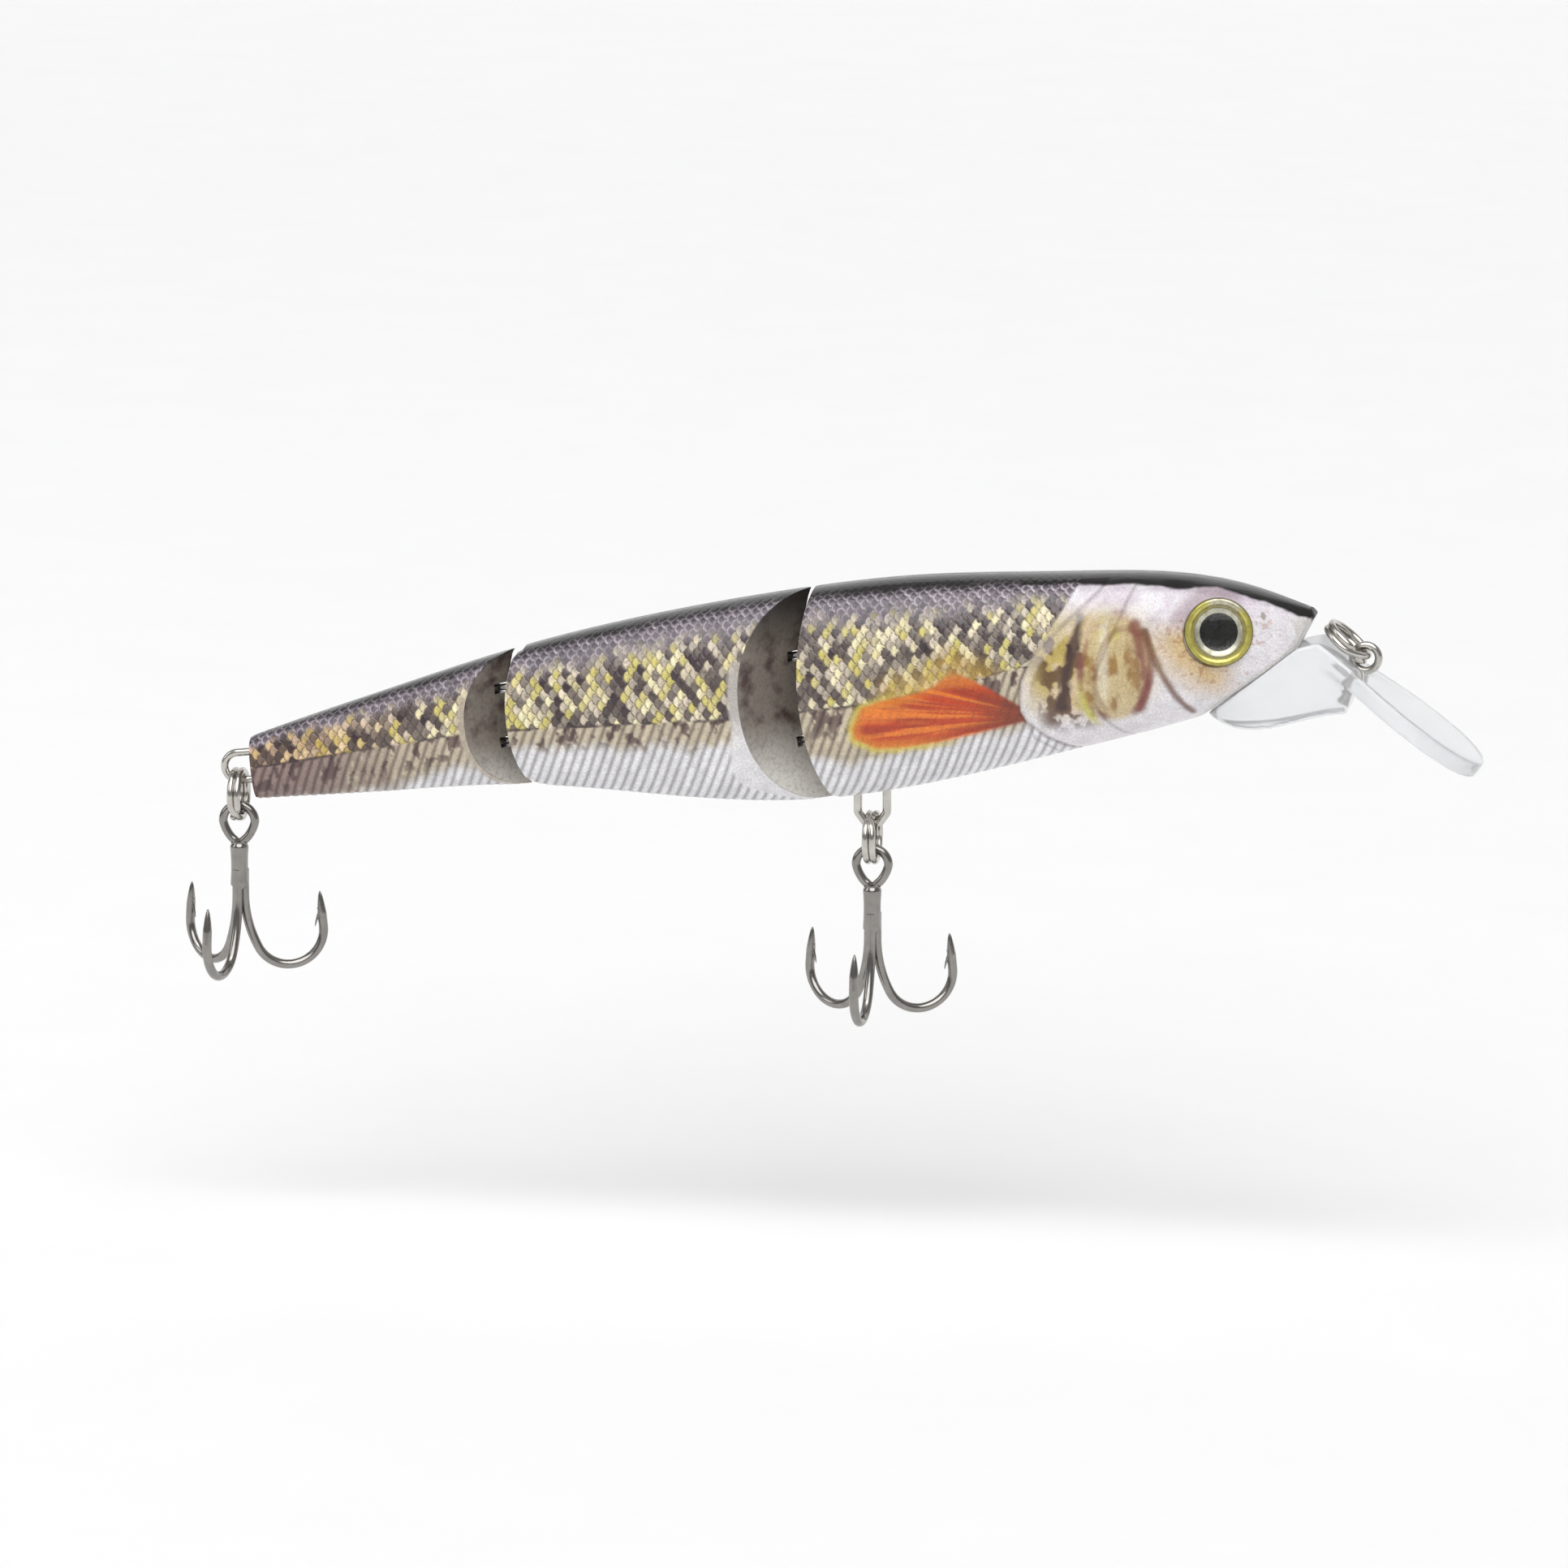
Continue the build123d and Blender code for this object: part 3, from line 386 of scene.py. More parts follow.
def paint_head(along, height, girth, width, tone, relief, rib_phase):
    """The head's own pattern: fin, gill cover, cheek and face, with painted shade in its grooves and a
    painted highlight on the gill cover.
    """
    # golden scales over the fin, and the fin itself
    fin = within(along, height, FIN)
    above_fin = smooth(3.4, 0.6, -fin) * smooth(-0.2, 0.2, girth) * smooth(-50.5, -47.0, along)
    tone = mix(tone, colour(196, 160, 62) * (0.7 + 0.5 * lattice(
        np.round(along / 0.5), np.round(girth / 0.7), 8))[..., None], above_fin * 0.62)
    ray = np.arctan2(height - FIN_ROOT[1], FIN_ROOT[0] - along)
    reach = np.hypot(along - FIN_ROOT[0], height - FIN_ROOT[1])
    fringe = smooth(-0.9, -0.1, fin + 0.5 * (cloud(along, height, 81) - 0.5))
    fringe = fringe * smooth(-44, -50, along + height)
    tone = mix(tone, colour(206, 186, 84), fringe * 0.85)
    fin_tone = mix(colour(190, 66, 22), colour(224, 120, 40),
                   smooth(0.5, 0.68, cloud(ray * 26, reach / 9, 83)))
    fin_tone = mix(fin_tone, colour(150, 44, 20), smooth(0.55, 0.3, cloud(ray * 22, reach / 7, 85)) * 0.6)
    fin_tone = mix(fin_tone, colour(214, 128, 40), smooth(1.3, 0.1, fin) * smooth(-40, -48, along) * 0.8)
    fin_tone = mix(fin_tone, colour(222, 140, 52), smooth(0.6, 1.6, height) * 0.5)
    fin_tone = mix(fin_tone, colour(106, 48, 28),
                   smooth(8.5, 2.0, reach + 3 * (cloud(along, height, 87) - 0.5)) * 0.85)
    # painted shade in the rib grooves that cross the fin
    fin_tone = mix(fin_tone, fin_tone * 0.86, smooth(0.7, 1.0, rib_phase))
    in_fin = smooth(-0.25, 0.25, fin) * (1 - 0.7 * smooth(1.7, 2.8, height))
    tone = mix(tone, fin_tone, in_fin)
    relief = relief * (1 - 0.75 * in_fin) + 0.02 * np.sin(ray * 90) * in_fin

    # in front of the scales and the gill cover's rear edge: the face
    front = np.where(height > 2.7, along_at(height, SCALE_FRONT), along_at(height, GILL_REAR))
    face = smooth(-0.12, 0.12, along - front)
    mottle = cloud(along / 2.2, height / 2.2, 91)
    fine = cloud(along / 0.5, height / 0.5, 92)
    look = colour(224, 220, 224) * (0.93 + 0.1 * mottle)[..., None]
    lilac = smooth(0.42, 0.66, mottle) * smooth(3.5, 7.5, height)
    look = mix(look, colour(192, 176, 192), lilac * 0.6)
    tan_field = (smooth(-0.15, 0.55, ellipse(along, height, (-28.0, 2.8), (8.6, 8.0)))
                 * smooth(-4.6, -1.6, height) * smooth(9.4, 6.4, height))
    tan_tone = mix(colour(204, 180, 138), colour(182, 158, 66),
                   smooth(0.36, 0.58, cloud(along / 1.9, height / 2.6, 93)))
    look = mix(look, tan_tone, tan_field * 0.92)
    # behind the second gill line: olive and brown islands, and the dark band
    islands = smooth(0.5, 0.62, cloud(along / 1.25, height / 1.5, 95)) * smooth(-33.9, -31.5, along) \
        * smooth(-26.4, -28.0, along) * smooth(-4.9, -3.0, height) * smooth(7.4, 5.4, height)
    look = mix(look, colour(88, 56, 30), islands * 0.9)
    dark = smooth(0.85, 0.15, to_line(along, height, DARK_BAND) + 0.9 * (mottle - 0.5))
    look = mix(look, colour(60, 36, 34), dark * 0.9)
    olive = smooth(0.75, 0.1, np.abs(along - along_at(height, GILL_FRONT) + 1.1)) \
        * smooth(-4.6, -3.0, height) * smooth(7.6, 5.0, height)
    look = mix(look, colour(188, 182, 74), olive * 0.8)
    # the cheek: two nested kidney shapes
    cheek = ellipse(along, height, (-24.6, 1.7), (3.7, 5.6), -0.2)
    inner = mix(colour(196, 176, 132), colour(146, 108, 54),
                smooth(0.42, 0.66, cloud(along / 1.2, height / 2.1, 97)))
    inner = mix(inner, colour(226, 218, 196), smooth(0.9, 0.2, np.abs(along + 25.9 - 0.12 * (height - 2)))
                * smooth(-3, 0, height) * 0.7)
    inner = mix(inner, colour(206, 196, 110), smooth(0.5, 0.7, cloud(along / 1.7, height / 1.7, 98))
                * smooth(3.2, 6.0, height))
    look = mix(look, inner, smooth(-0.06, 0.14, cheek) * smooth(-4.6, -3.2, height) * 0.9)
    look = mix(look, colour(122, 62, 64), smooth(0.15, 0.03, np.abs(cheek - 0.03))
               * smooth(-4.4, -2.6, height) * smooth(0.25, 0.6, mottle) * 0.75)
    second_ring = ellipse(along, height, (-24.0, 1.2), (2.7, 4.6), -0.2)
    look = mix(look, colour(128, 84, 62),
               smooth(0.14, 0.02, np.abs(second_ring)) * smooth(-3.4, -1.6, height) * 0.45)
    maroon = smooth(0.85, 0.15, to_line(along, height, MAROON_LINE) + 0.7 * (mottle - 0.5))
    look = mix(look, colour(120, 52, 48), maroon * 0.8)
    crease = smooth(0.7, 0.12, to_line(along, height, CHEEK_LINE) + 0.5 * (mottle - 0.5))
    look = mix(look, colour(100, 58, 34), crease * 0.85)
    # round the eye
    eye = eye_distance(along, height)
    under_eye = smooth(7.6, 4.2, eye) * smooth(7.2, 3.6, height) * smooth(-11.6, -14.8, along)
    look = mix(look, colour(200, 168, 104), under_eye * (0.5 + 0.5 * mottle))
    # above the eye: lilac colour deepened with painted shade of the eyelid's bulge
    brow = smooth(5.6, 3.9, eye + 1.2 * (mottle - 0.5)) * smooth(4.4, 6.8, height)
    look = mix(look, colour(132, 92, 112), brow * 0.62 * smooth(-10.6, -13.0, along))
    speckle = smooth(0.62, 0.74, fine) * smooth(8.2, 4.2, eye) * smooth(8, 5, height)
    look = mix(look, look * colour(190, 140, 120), speckle * 0.5)
    look = look * (0.94 + 0.12 * fine)[..., None]
    # lips: a grey band along the mouth and the nose, painted shade on their rounded edge
    lip = smooth(1.25, 0.35, mouth(height, width) - along) * smooth(6.0, 4.6, height)
    look = mix(look, colour(196, 192, 188), lip * 0.8)
    nostril = ellipse(along, height, (-9.5, 5.6), (0.28, 0.5), 0.3)
    look = mix(look, colour(150, 140, 138), smooth(0.0, 0.3, nostril))
    # grooves of the gill covers, darkened with painted shade
    rear = to_line(along, height, GILL_REAR)
    second = to_line(along, height, GILL_FRONT)
    groove = np.maximum(smooth(0.3, 0.05, rear), 0.8 * smooth(0.28, 0.05, second))
    chin = to_line(along, height, CHIN_LINE)
    groove = np.maximum(groove, 0.6 * smooth(0.25, 0.05, chin))
    # painted shade in the gill-cover grooves
    shade = groove * (0.34 + 0.45 * mottle)
    tone = mix(tone, look, face)
    tone = mix(tone, tone * colour(150, 135, 140), shade)
    # a painted highlight along the raised edge just in front of the rear gill groove
    gill_edge_highlight = smooth(0.75, 0.35, np.abs(rear - 0.42)) * (along > front)
    tone = mix(tone, colour(236, 232, 232), gill_edge_highlight * 0.25)
    step = smooth(0.0, 0.9, along - along_at(height, GILL_REAR)) * face
    face_relief = (0.13 * step + 0.03 * smooth(0.0, 0.8, along - along_at(height, GILL_FRONT))
                   - 0.05 * groove)
    relief = relief * (1 - face) + face_relief * np.maximum(face, groove)
    return tone, relief


# ---------------------------------------------------------------- mesh helpers
def linked(name, data):
    """A new object in the scene."""
    made = bpy.data.objects.new(name, data)
    bpy.context.collection.objects.link(made)
    return made


def give(piece, name, values):
    """Writes a number or a colour at each point of a piece, for its material to read."""
    values = np.asarray(values, np.float32)
    if values.ndim == 1:
        piece.data.attributes.new(name, "FLOAT", "POINT").data.foreach_set("value", values)
        return
    rgba = np.ones((len(values), 4), np.float32)
    rgba[:, :3] = values
    piece.data.attributes.new(name, "FLOAT_COLOR", "POINT").data.foreach_set("color", rgba.ravel())


def mesh_piece(name, verts, faces, body, slot, *nodes):
    """A new mesh in metres that rides on a body and stands for the CAD nodes given."""
    mesh = bpy.data.meshes.new(name)
    faces = np.asarray(faces)
    mesh.vertices.add(len(verts))
    mesh.vertices.foreach_set("co", np.asarray(verts, np.float32).ravel())
    mesh.loops.add(faces.size)
    mesh.loops.foreach_set("vertex_index", faces.ravel().astype(np.int32))
    mesh.polygons.add(len(faces))
    mesh.polygons.foreach_set("loop_start", np.arange(0, faces.size, faces.shape[1], dtype=np.int32))
    mesh.update(calc_edges=True)
    mesh.validate()
    mesh.polygons.foreach_set("use_smooth", np.ones(len(mesh.polygons), bool))
    piece = linked(name, mesh)
    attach(piece, body)
    if nodes:
        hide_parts(*nodes)
    return piece


def grid_faces(columns, rows, wrap=False, start=0):
    """Quads over a grid numbered column by column."""
    last = rows if wrap else rows - 1
    i, j = np.meshgrid(np.arange(columns - 1), np.arange(last), indexing="ij")
    j2 = (j + 1) % rows
    quads = np.stack([i * rows + j, (i + 1) * rows + j, (i + 1) * rows + j2, i * rows + j2], -1)
    return quads.reshape(-1, 4) + start


def point(along, height, width):
    """Points of the frame, in metres, from the body's own terms."""
    return MM * (np.asarray(along)[..., None] * ALONG + np.asarray(height)[..., None] * UP
                 + np.asarray(width)[..., None] * SIDEWAYS)


def cad_tree(*names):
    """The CAD mesh of some nodes, for finding its surface."""
    verts, faces = [], []
    for name in names:
        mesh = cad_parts[name].data
        start = len(verts)
        verts += [v.co[:] for v in mesh.vertices]
        faces += [[start + i for i in p.vertices] for p in mesh.polygons]
    return BVHTree.FromPolygons(verts, faces)


SKIN_DEEP, SKIN_BACK = 0.17, 0.3          # under the CAD surface: lowest grooves, inner face
SKIN_STEP = 4                             # outer grid steps to one inner step
CORE_ROOM = 0.24                          # that the core is let in beneath the skin
PROBE, PROBE_STOPS = 2.0, 40              # how far outside the rays start, and places along
PROBE_INSET, TRUSTED_LIFT = 0.15, 0.32    # from the section's ends; a larger find is another face


def even_turns(rows):
    """Turns spaced evenly round an average section's girth."""
    turn = np.linspace(0, pi, 2000)
    height, width = surface(np.full(2000, -50.0), turn)
    run = np.concatenate([[0], np.cumsum(np.hypot(np.diff(height), np.diff(width)))])
    return np.interp(np.linspace(0, run[-1], rows), run, turn)


def packed_offset(part, side_name, hand, rear, front, turn):
    """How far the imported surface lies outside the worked-out one, by rays cast from outside."""
    tree = cad_tree(f"{part}_shell_{side_name}")
    off = np.zeros((PROBE_STOPS, len(turn)))
    for j, here in enumerate(turn):
        along = np.linspace(rear[j] + PROBE_INSET, front[j] - PROBE_INSET, PROBE_STOPS)
        height, width = surface(along, np.full(PROBE_STOPS, np.clip(here, 0.02, pi - 0.02)))
        middle = (body_top(along) + body_bottom(along)) / 2
        span = np.hypot(height - middle, width)
        out_h, out_w = (height - middle) / span, width / span
        start = point(along, height + PROBE * out_h, hand * (width + PROBE * out_w))
        way = -(out_h[:, None] * UP + hand * out_w[:, None] * SIDEWAYS)
        hits = [tree.ray_cast(s, d, 2 * PROBE * MM) for s, d in zip(start, way)]
        lift = PROBE - np.array([hit[3] / MM if hit[0] is not None else np.nan for hit in hits])
        lift[~(np.abs(lift) < TRUSTED_LIFT)] = np.nan
        if part == "head":
            lift[eye_distance(along, height) < EYE_RADIUS + 0.4] = np.nan
        known = np.isfinite(lift)
        if known.any():
            off[:, j] = np.interp(np.arange(PROBE_STOPS), np.flatnonzero(known), lift[known])
    return off


def skin_faces(columns, rows):
    """Triangles of the outer grid, of the coarser inner one, and of the edge that joins them."""
    columns_in, rows_in = -(-columns // SKIN_STEP), -(-rows // SKIN_STEP)
    start, half = columns * rows, SKIN_STEP // 2
    quads = np.concatenate([grid_faces(columns, rows),
                            grid_faces(columns_in, rows_in, start=start)[:, ::-1]])
    ring = [(0, j) for j in range(rows)] + [(i, rows - 1) for i in range(1, columns)] \
        + [(columns - 1, j) for j in range(rows - 2, -1, -1)] + [(i, 0) for i in range(columns - 2, 0, -1)]
    tris = []
    for (i, j), (k, m) in zip(ring, ring[1:] + ring[:1]):
        near = start + ((i + half) // SKIN_STEP) * rows_in + (j + half) // SKIN_STEP
        after = start + ((k + half) // SKIN_STEP) * rows_in + (m + half) // SKIN_STEP
        tris.append((i * rows + j, near, k * rows + m))
        if after != near:
            tris.append((near, after, k * rows + m))
    return np.concatenate([quads[:, [0, 1, 2]], quads[:, [0, 2, 3]], np.array(tris)])


def make_skin(part, hand, columns, rows):
    """The moulded outer face of one side of a section, with its patterned colour and painted shade."""
    low, high, rear_cut, front_cut = ENDS[part]
    turn = even_turns(rows)
    middle = (low + high) / 2
    rear = turn * 0 + low if part == "tail" else cut_at(rear_cut, turn, middle, low - 1)
    front = cut_at(front_cut, turn, middle, min(high + 1, NOSE_END))
    along = rear + (front - rear) * np.linspace(0, 1, columns)[:, None]
    turns = np.broadcast_to(turn, along.shape)
    height, width = surface(along, turns)

    side_name = "left" if hand > 0 else "right"
    off = packed_offset(part, side_name, hand, rear, front, turn)
    share, stops = np.linspace(0, PROBE_STOPS - 1, columns), np.arange(PROBE_STOPS)
    off = np.array([np.interp(share, stops, off[:, j]) for j in range(rows)]).T

    place = np.stack([along, height, width], -1)
    edge_a, edge_t = np.gradient(place, axis=0), np.gradient(place, axis=1)
    normal = np.cross(edge_a, edge_t)
    normal /= np.linalg.norm(normal, axis=-1, keepdims=True) + 1e-12
    outward = np.sign(normal[..., 2].sum())
    normal *= outward
    normal[:, [0, -1], 2] = 0
    normal /= np.linalg.norm(normal, axis=-1, keepdims=True)

    # girth upwards from the lateral line
    run = np.concatenate([np.zeros((columns, 1)), np.cumsum(
        np.hypot(np.diff(height, axis=1), np.diff(width, axis=1)), axis=1)], axis=1)
    lateral = line_at(along[:, rows // 2], LATERAL_LINE)
    at_line = np.array([np.interp(-level, -h, r) for level, h, r in zip(lateral, height, run)])
    girth = at_line[:, None] - run

    tone, relief, gloss = paint(part, along, height, girth, width, turns)
    border = np.minimum(along - rear, front - along)
    relief = relief * smooth(0.0, 0.5, border)
    lift = off - SKIN_DEEP + relief
    if part == "head":
        eye = eye_distance(along, height)
        lift = lift - 0.9 * smooth(EYE_RADIUS - 0.1, EYE_RADIUS - 0.5, eye)
    outer = place + normal * lift[..., None]
    sparse = (slice(None, None, SKIN_STEP),) * 2
    inner_lift = np.minimum(off - SKIN_BACK, lift - 0.1)[sparse]
    inner = place[sparse] + normal[sparse] * inner_lift[..., None]
    for sheet in (outer, inner):
        sheet[:, [0, -1], 2] = 0
    verts = np.concatenate([sheet.reshape(-1, 3) for sheet in (outer, inner)])
    faces = skin_faces(columns, rows)
    if hand * outward < 0:
        faces = faces[:, ::-1]
    piece = mesh_piece(f"{part}_skin_{side_name}", point(verts[:, 0], verts[:, 1], hand * verts[:, 2]),
                       faces, part, "painted_head" if part == "head" else "painted_body")
    give(piece, "gloss", np.concatenate([gloss.ravel(), gloss[sparse].ravel()]))
    give(piece, "print_and_painted_light", np.concatenate([tone.reshape(-1, 3), tone[sparse].reshape(-1, 3)]))
    return piece


# ---------------------------------------------------------------- materials
def new_material(name):
    """An empty node material: its nodes, its links and its Principled shader."""
    made = bpy.data.materials.new(name)
    made.use_nodes = True
    nodes = made.node_tree.nodes
    return made, nodes, made.node_tree.links, nodes["Principled BSDF"]


def read_attribute(nodes, name):
    """The node that reads what a piece carries at each point."""
    node = nodes.new("ShaderNodeAttribute")
    node.attribute_name = name
    return node


def math_node(nodes, links, kind, a, b=None):
    """A math node fed by sockets or numbers; returns its output."""
    node = nodes.new("ShaderNodeMath")
    node.operation = kind
    for slot_number, value in enumerate((a, b)):
        if value is None:
            continue
        if isinstance(value, (int, float)):
            node.inputs[slot_number].default_value = value
        else:
            links.new(value, node.inputs[slot_number])
    return node.outputs[0]


def noise_node(nodes, links, scale, detail=4.0, source=None):
    node = nodes.new("ShaderNodeTexNoise")
    node.inputs["Scale"].default_value = scale
    node.inputs["Detail"].default_value = detail
    if source is None:
        source = nodes.new("ShaderNodeTexCoord").outputs["Object"]
    links.new(source, node.inputs["Vector"])
    return node


def ranged(nodes, links, value, low, high, to_low=0.0, to_high=1.0):
    node = nodes.new("ShaderNodeMapRange")
    node.inputs["From Min"].default_value = low
    node.inputs["From Max"].default_value = high
    node.inputs["To Min"].default_value = to_low
    node.inputs["To Max"].default_value = to_high
    links.new(value, node.inputs["Value"])
    return node.outputs["Result"]


def mix_node(nodes, links, factor, a, b, kind="MIX"):
    node = nodes.new("ShaderNodeMix")
    node.data_type = "RGBA"
    node.blend_type = kind
    for key, value in (("Factor", factor), ("A", a), ("B", b)):
        socket = [s for s in node.inputs if s.name == key and s.enabled][-1 if key != "Factor" else 0]
        if isinstance(value, bpy.types.NodeSocket):
            links.new(value, socket)
        elif key == "Factor":
            socket.default_value = value
        else:
            socket.default_value = (*value, 1.0)
    return [s for s in node.outputs if s.enabled][0]


def bump_node(nodes, links, height, distance, strength=1.0):
    node = nodes.new("ShaderNodeBump")
    node.inputs["Strength"].default_value = strength
    node.inputs["Distance"].default_value = distance
    links.new(height, node.inputs["Height"])
    return node.outputs["Normal"]


def skin_material(name):
    """Printed hard plastic under clear varnish."""
    made, nodes, links, shader = new_material(name)
    # the colour read here is the pattern together with its painted shade and highlights
    print_and_light_colour, gloss = read_attribute(nodes, "print_and_painted_light"), read_attribute(nodes, "gloss")
    dots = noise_node(nodes, links, 5200.0, 2.0)
    patches = noise_node(nodes, links, 700.0, 5.0)
    speck = ranged(nodes, links, dots.outputs[0], 0.3, 0.7, 0.82, 1.15)
    cloudy = ranged(nodes, links, patches.outputs[0], 0.3, 0.7, 0.92, 1.07)
    grain = math_node(nodes, links, "MULTIPLY", speck, cloudy)
    scaled = nodes.new("ShaderNodeVectorMath")
    scaled.operation = "SCALE"
    links.new(print_and_light_colour.outputs["Color"], scaled.inputs[0])
    links.new(grain, scaled.inputs["Scale"])
    links.new(scaled.outputs[0], shader.inputs["Base Color"])
    rough = math_node(nodes, links, "ADD", gloss.outputs["Fac"],
                      ranged(nodes, links, patches.outputs[0], 0.3, 0.7, -0.04, 0.06))
    links.new(rough, shader.inputs["Roughness"])
    links.new(bump_node(nodes, links, dots.outputs[0], 0.00001, 0.35), shader.inputs["Normal"])
    shader.inputs["Coat Weight"].default_value = 0.3
    shader.inputs["Coat Roughness"].default_value = 0.08
    shader.inputs["IOR"].default_value = 1.5
    return made


def metal_material(name, tone, roughness, wear=900.0):
    """Plated wire: fine drawing marks and a slightly uneven shine."""
    made, nodes, links, shader = new_material(name)
    marks = noise_node(nodes, links, wear, 6.0)
    fine = noise_node(nodes, links, wear * 6, 3.0)
    dulled = tuple(c * 0.82 for c in tone)
    links.new(mix_node(nodes, links, ranged(nodes, links, marks.outputs[0], 0.35, 0.7), tone, dulled),
              shader.inputs["Base Color"])
    links.new(ranged(nodes, links, fine.outputs[0], 0.3, 0.7, roughness * 0.7, roughness * 1.4),
              shader.inputs["Roughness"])
    links.new(bump_node(nodes, links, marks.outputs[0], 0.00002, 0.25), shader.inputs["Normal"])
    shader.inputs["Metallic"].default_value = 1.0
    return made


def joint_material(name):
    """The shells' own plastic: grey-brown wedge faces with brown spots, paler below and darkened
    towards the top with painted shadow, and a pale snout with a dark top."""
    made, nodes, links, shader = new_material(name)
    turn = nodes.new("ShaderNodeVectorRotate")
    turn.rotation_type = "Y_AXIS"
    turn.inputs["Angle"].default_value = PITCH
    links.new(nodes.new("ShaderNodeTexCoord").outputs["Object"], turn.inputs["Vector"])
    parts = nodes.new("ShaderNodeSeparateXYZ")
    links.new(turn.outputs[0], parts.inputs[0])
    spots = noise_node(nodes, links, 420.0, 3.0, turn.outputs[0])
    mist = noise_node(nodes, links, 2600.0, 4.0, turn.outputs[0])
    # painted shadow: the wedge faces grow dark towards the top, shaded by the section in front
    upper = ranged(nodes, links, parts.outputs["Z"], 0.0055, 0.0105)
    lower = ranged(nodes, links, parts.outputs["Z"], -0.0015, -0.0075)
    tone = mix_node(nodes, links, lower, tuple(colour(126, 118, 109)), tuple(colour(206, 202, 196)))
    spot = math_node(nodes, links, "MULTIPLY", ranged(nodes, links, spots.outputs[0], 0.5, 0.68),
                     ranged(nodes, links, parts.outputs["Z"], -0.0045, -0.001))
    tone = mix_node(nodes, links, spot, tone, tuple(colour(70, 52, 50)))
    # the painted shadow at the top of the wedge faces
    tone = mix_node(nodes, links, upper, tone, tuple(colour(52, 47, 45)))
    tone = mix_node(nodes, links, ranged(nodes, links, mist.outputs[0], 0.45, 0.75, 0.0, 0.35), tone,
                    tuple(colour(50, 44, 44)))
    nose = ranged(nodes, links, parts.outputs["X"], -0.03, -0.0295)
    snout = mix_node(nodes, links, ranged(nodes, links, parts.outputs["Z"], 0.0043, 0.0047),
                     tuple(colour(206, 203, 202)), tuple(colour(44, 40, 38)))
    tone = mix_node(nodes, links, nose, tone, snout)
    links.new(tone, shader.inputs["Base Color"])
    links.new(ranged(nodes, links, mist.outputs[0], 0.3, 0.7, 0.42, 0.62), shader.inputs["Roughness"])
    links.new(bump_node(nodes, links, mist.outputs[0], 0.00003, 0.3), shader.inputs["Normal"])
    shader.inputs["Coat Weight"].default_value = 0.25
    shader.inputs["Coat Roughness"].default_value = 0.2
    return made


def clear_material(name, tint, roughness, waviness, clarity, index):
    """Clear moulded plastic, slightly milky, with faint flow lines."""
    made, nodes, links, shader = new_material(name)
    flow = noise_node(nodes, links, 260.0, 5.0)
    haze = noise_node(nodes, links, 3200.0, 3.0)
    links.new(mix_node(nodes, links, ranged(nodes, links, flow.outputs[0], 0.35, 0.7),
                       tint, tuple(c * 0.95 for c in tint)), shader.inputs["Base Color"])
    links.new(ranged(nodes, links, haze.outputs[0], 0.3, 0.7, roughness * 0.6, roughness * 1.5),
              shader.inputs["Roughness"])
    links.new(bump_node(nodes, links, flow.outputs[0], waviness, 0.5), shader.inputs["Normal"])
    shader.inputs["Transmission Weight"].default_value = clarity
    shader.inputs["IOR"].default_value = index
    return made


def eye_material(name):
    """Iris: radial streaks over a metallic film, tone from rim to pupil."""
    made, nodes, links, shader = new_material(name)
    # the colour read here includes a painted highlight on the iris
    ring, print_and_light_colour = read_attribute(nodes, "iris"), read_attribute(nodes, "print_and_painted_light")
    streaks = noise_node(nodes, links, 1500.0, 5.0)
    tone = mix_node(nodes, links, ranged(nodes, links, streaks.outputs[0], 0.4, 0.68, 0.0, 0.8),
                    print_and_light_colour.outputs["Color"], (0.55, 0.52, 0.4), "MULTIPLY")
    links.new(tone, shader.inputs["Base Color"])
    links.new(ranged(nodes, links, streaks.outputs[0], 0.3, 0.7, 0.22, 0.36), shader.inputs["Roughness"])
    links.new(bump_node(nodes, links, streaks.outputs[0], 0.00002, 0.3), shader.inputs["Normal"])
    links.new(ring.outputs["Fac"], shader.inputs["Metallic"])
    shader.inputs["Coat Weight"].default_value = 0.4
    shader.inputs["Coat Roughness"].default_value = 0.05
    return made


nickel = metal_material("nickel_wire", tuple(colour(204, 200, 194)), 0.16)
hook_steel = metal_material("hook_steel", tuple(colour(152, 149, 145)), 0.17)
pin_steel = metal_material("pin_steel", tuple(colour(150, 148, 146)), 0.3)
ballast_steel = metal_material("ballast_steel", tuple(colour(122, 120, 118)), 0.42, 500.0)
joint_paint = joint_material("joint_paint")
skin_print = skin_material("skin_print")
clear_lip = clear_material("clear_lip", tuple(colour(250, 251, 253)), 0.1, 0.00006, 0.72, 1.45)
eye_lens = clear_material("eye_lens", tuple(colour(252, 252, 250)), 0.02, 0.000005, 1.0, 1.25)
eye_paint = eye_material("eye_paint")


def dress(piece, material):
    """Gives a new piece its material."""
    piece.data.materials.clear()
    piece.data.materials.append(material)
    return piece


def dress_node(name, material):
    """Gives a CAD node a better material."""
    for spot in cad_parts[name].material_slots:
        spot.material = material


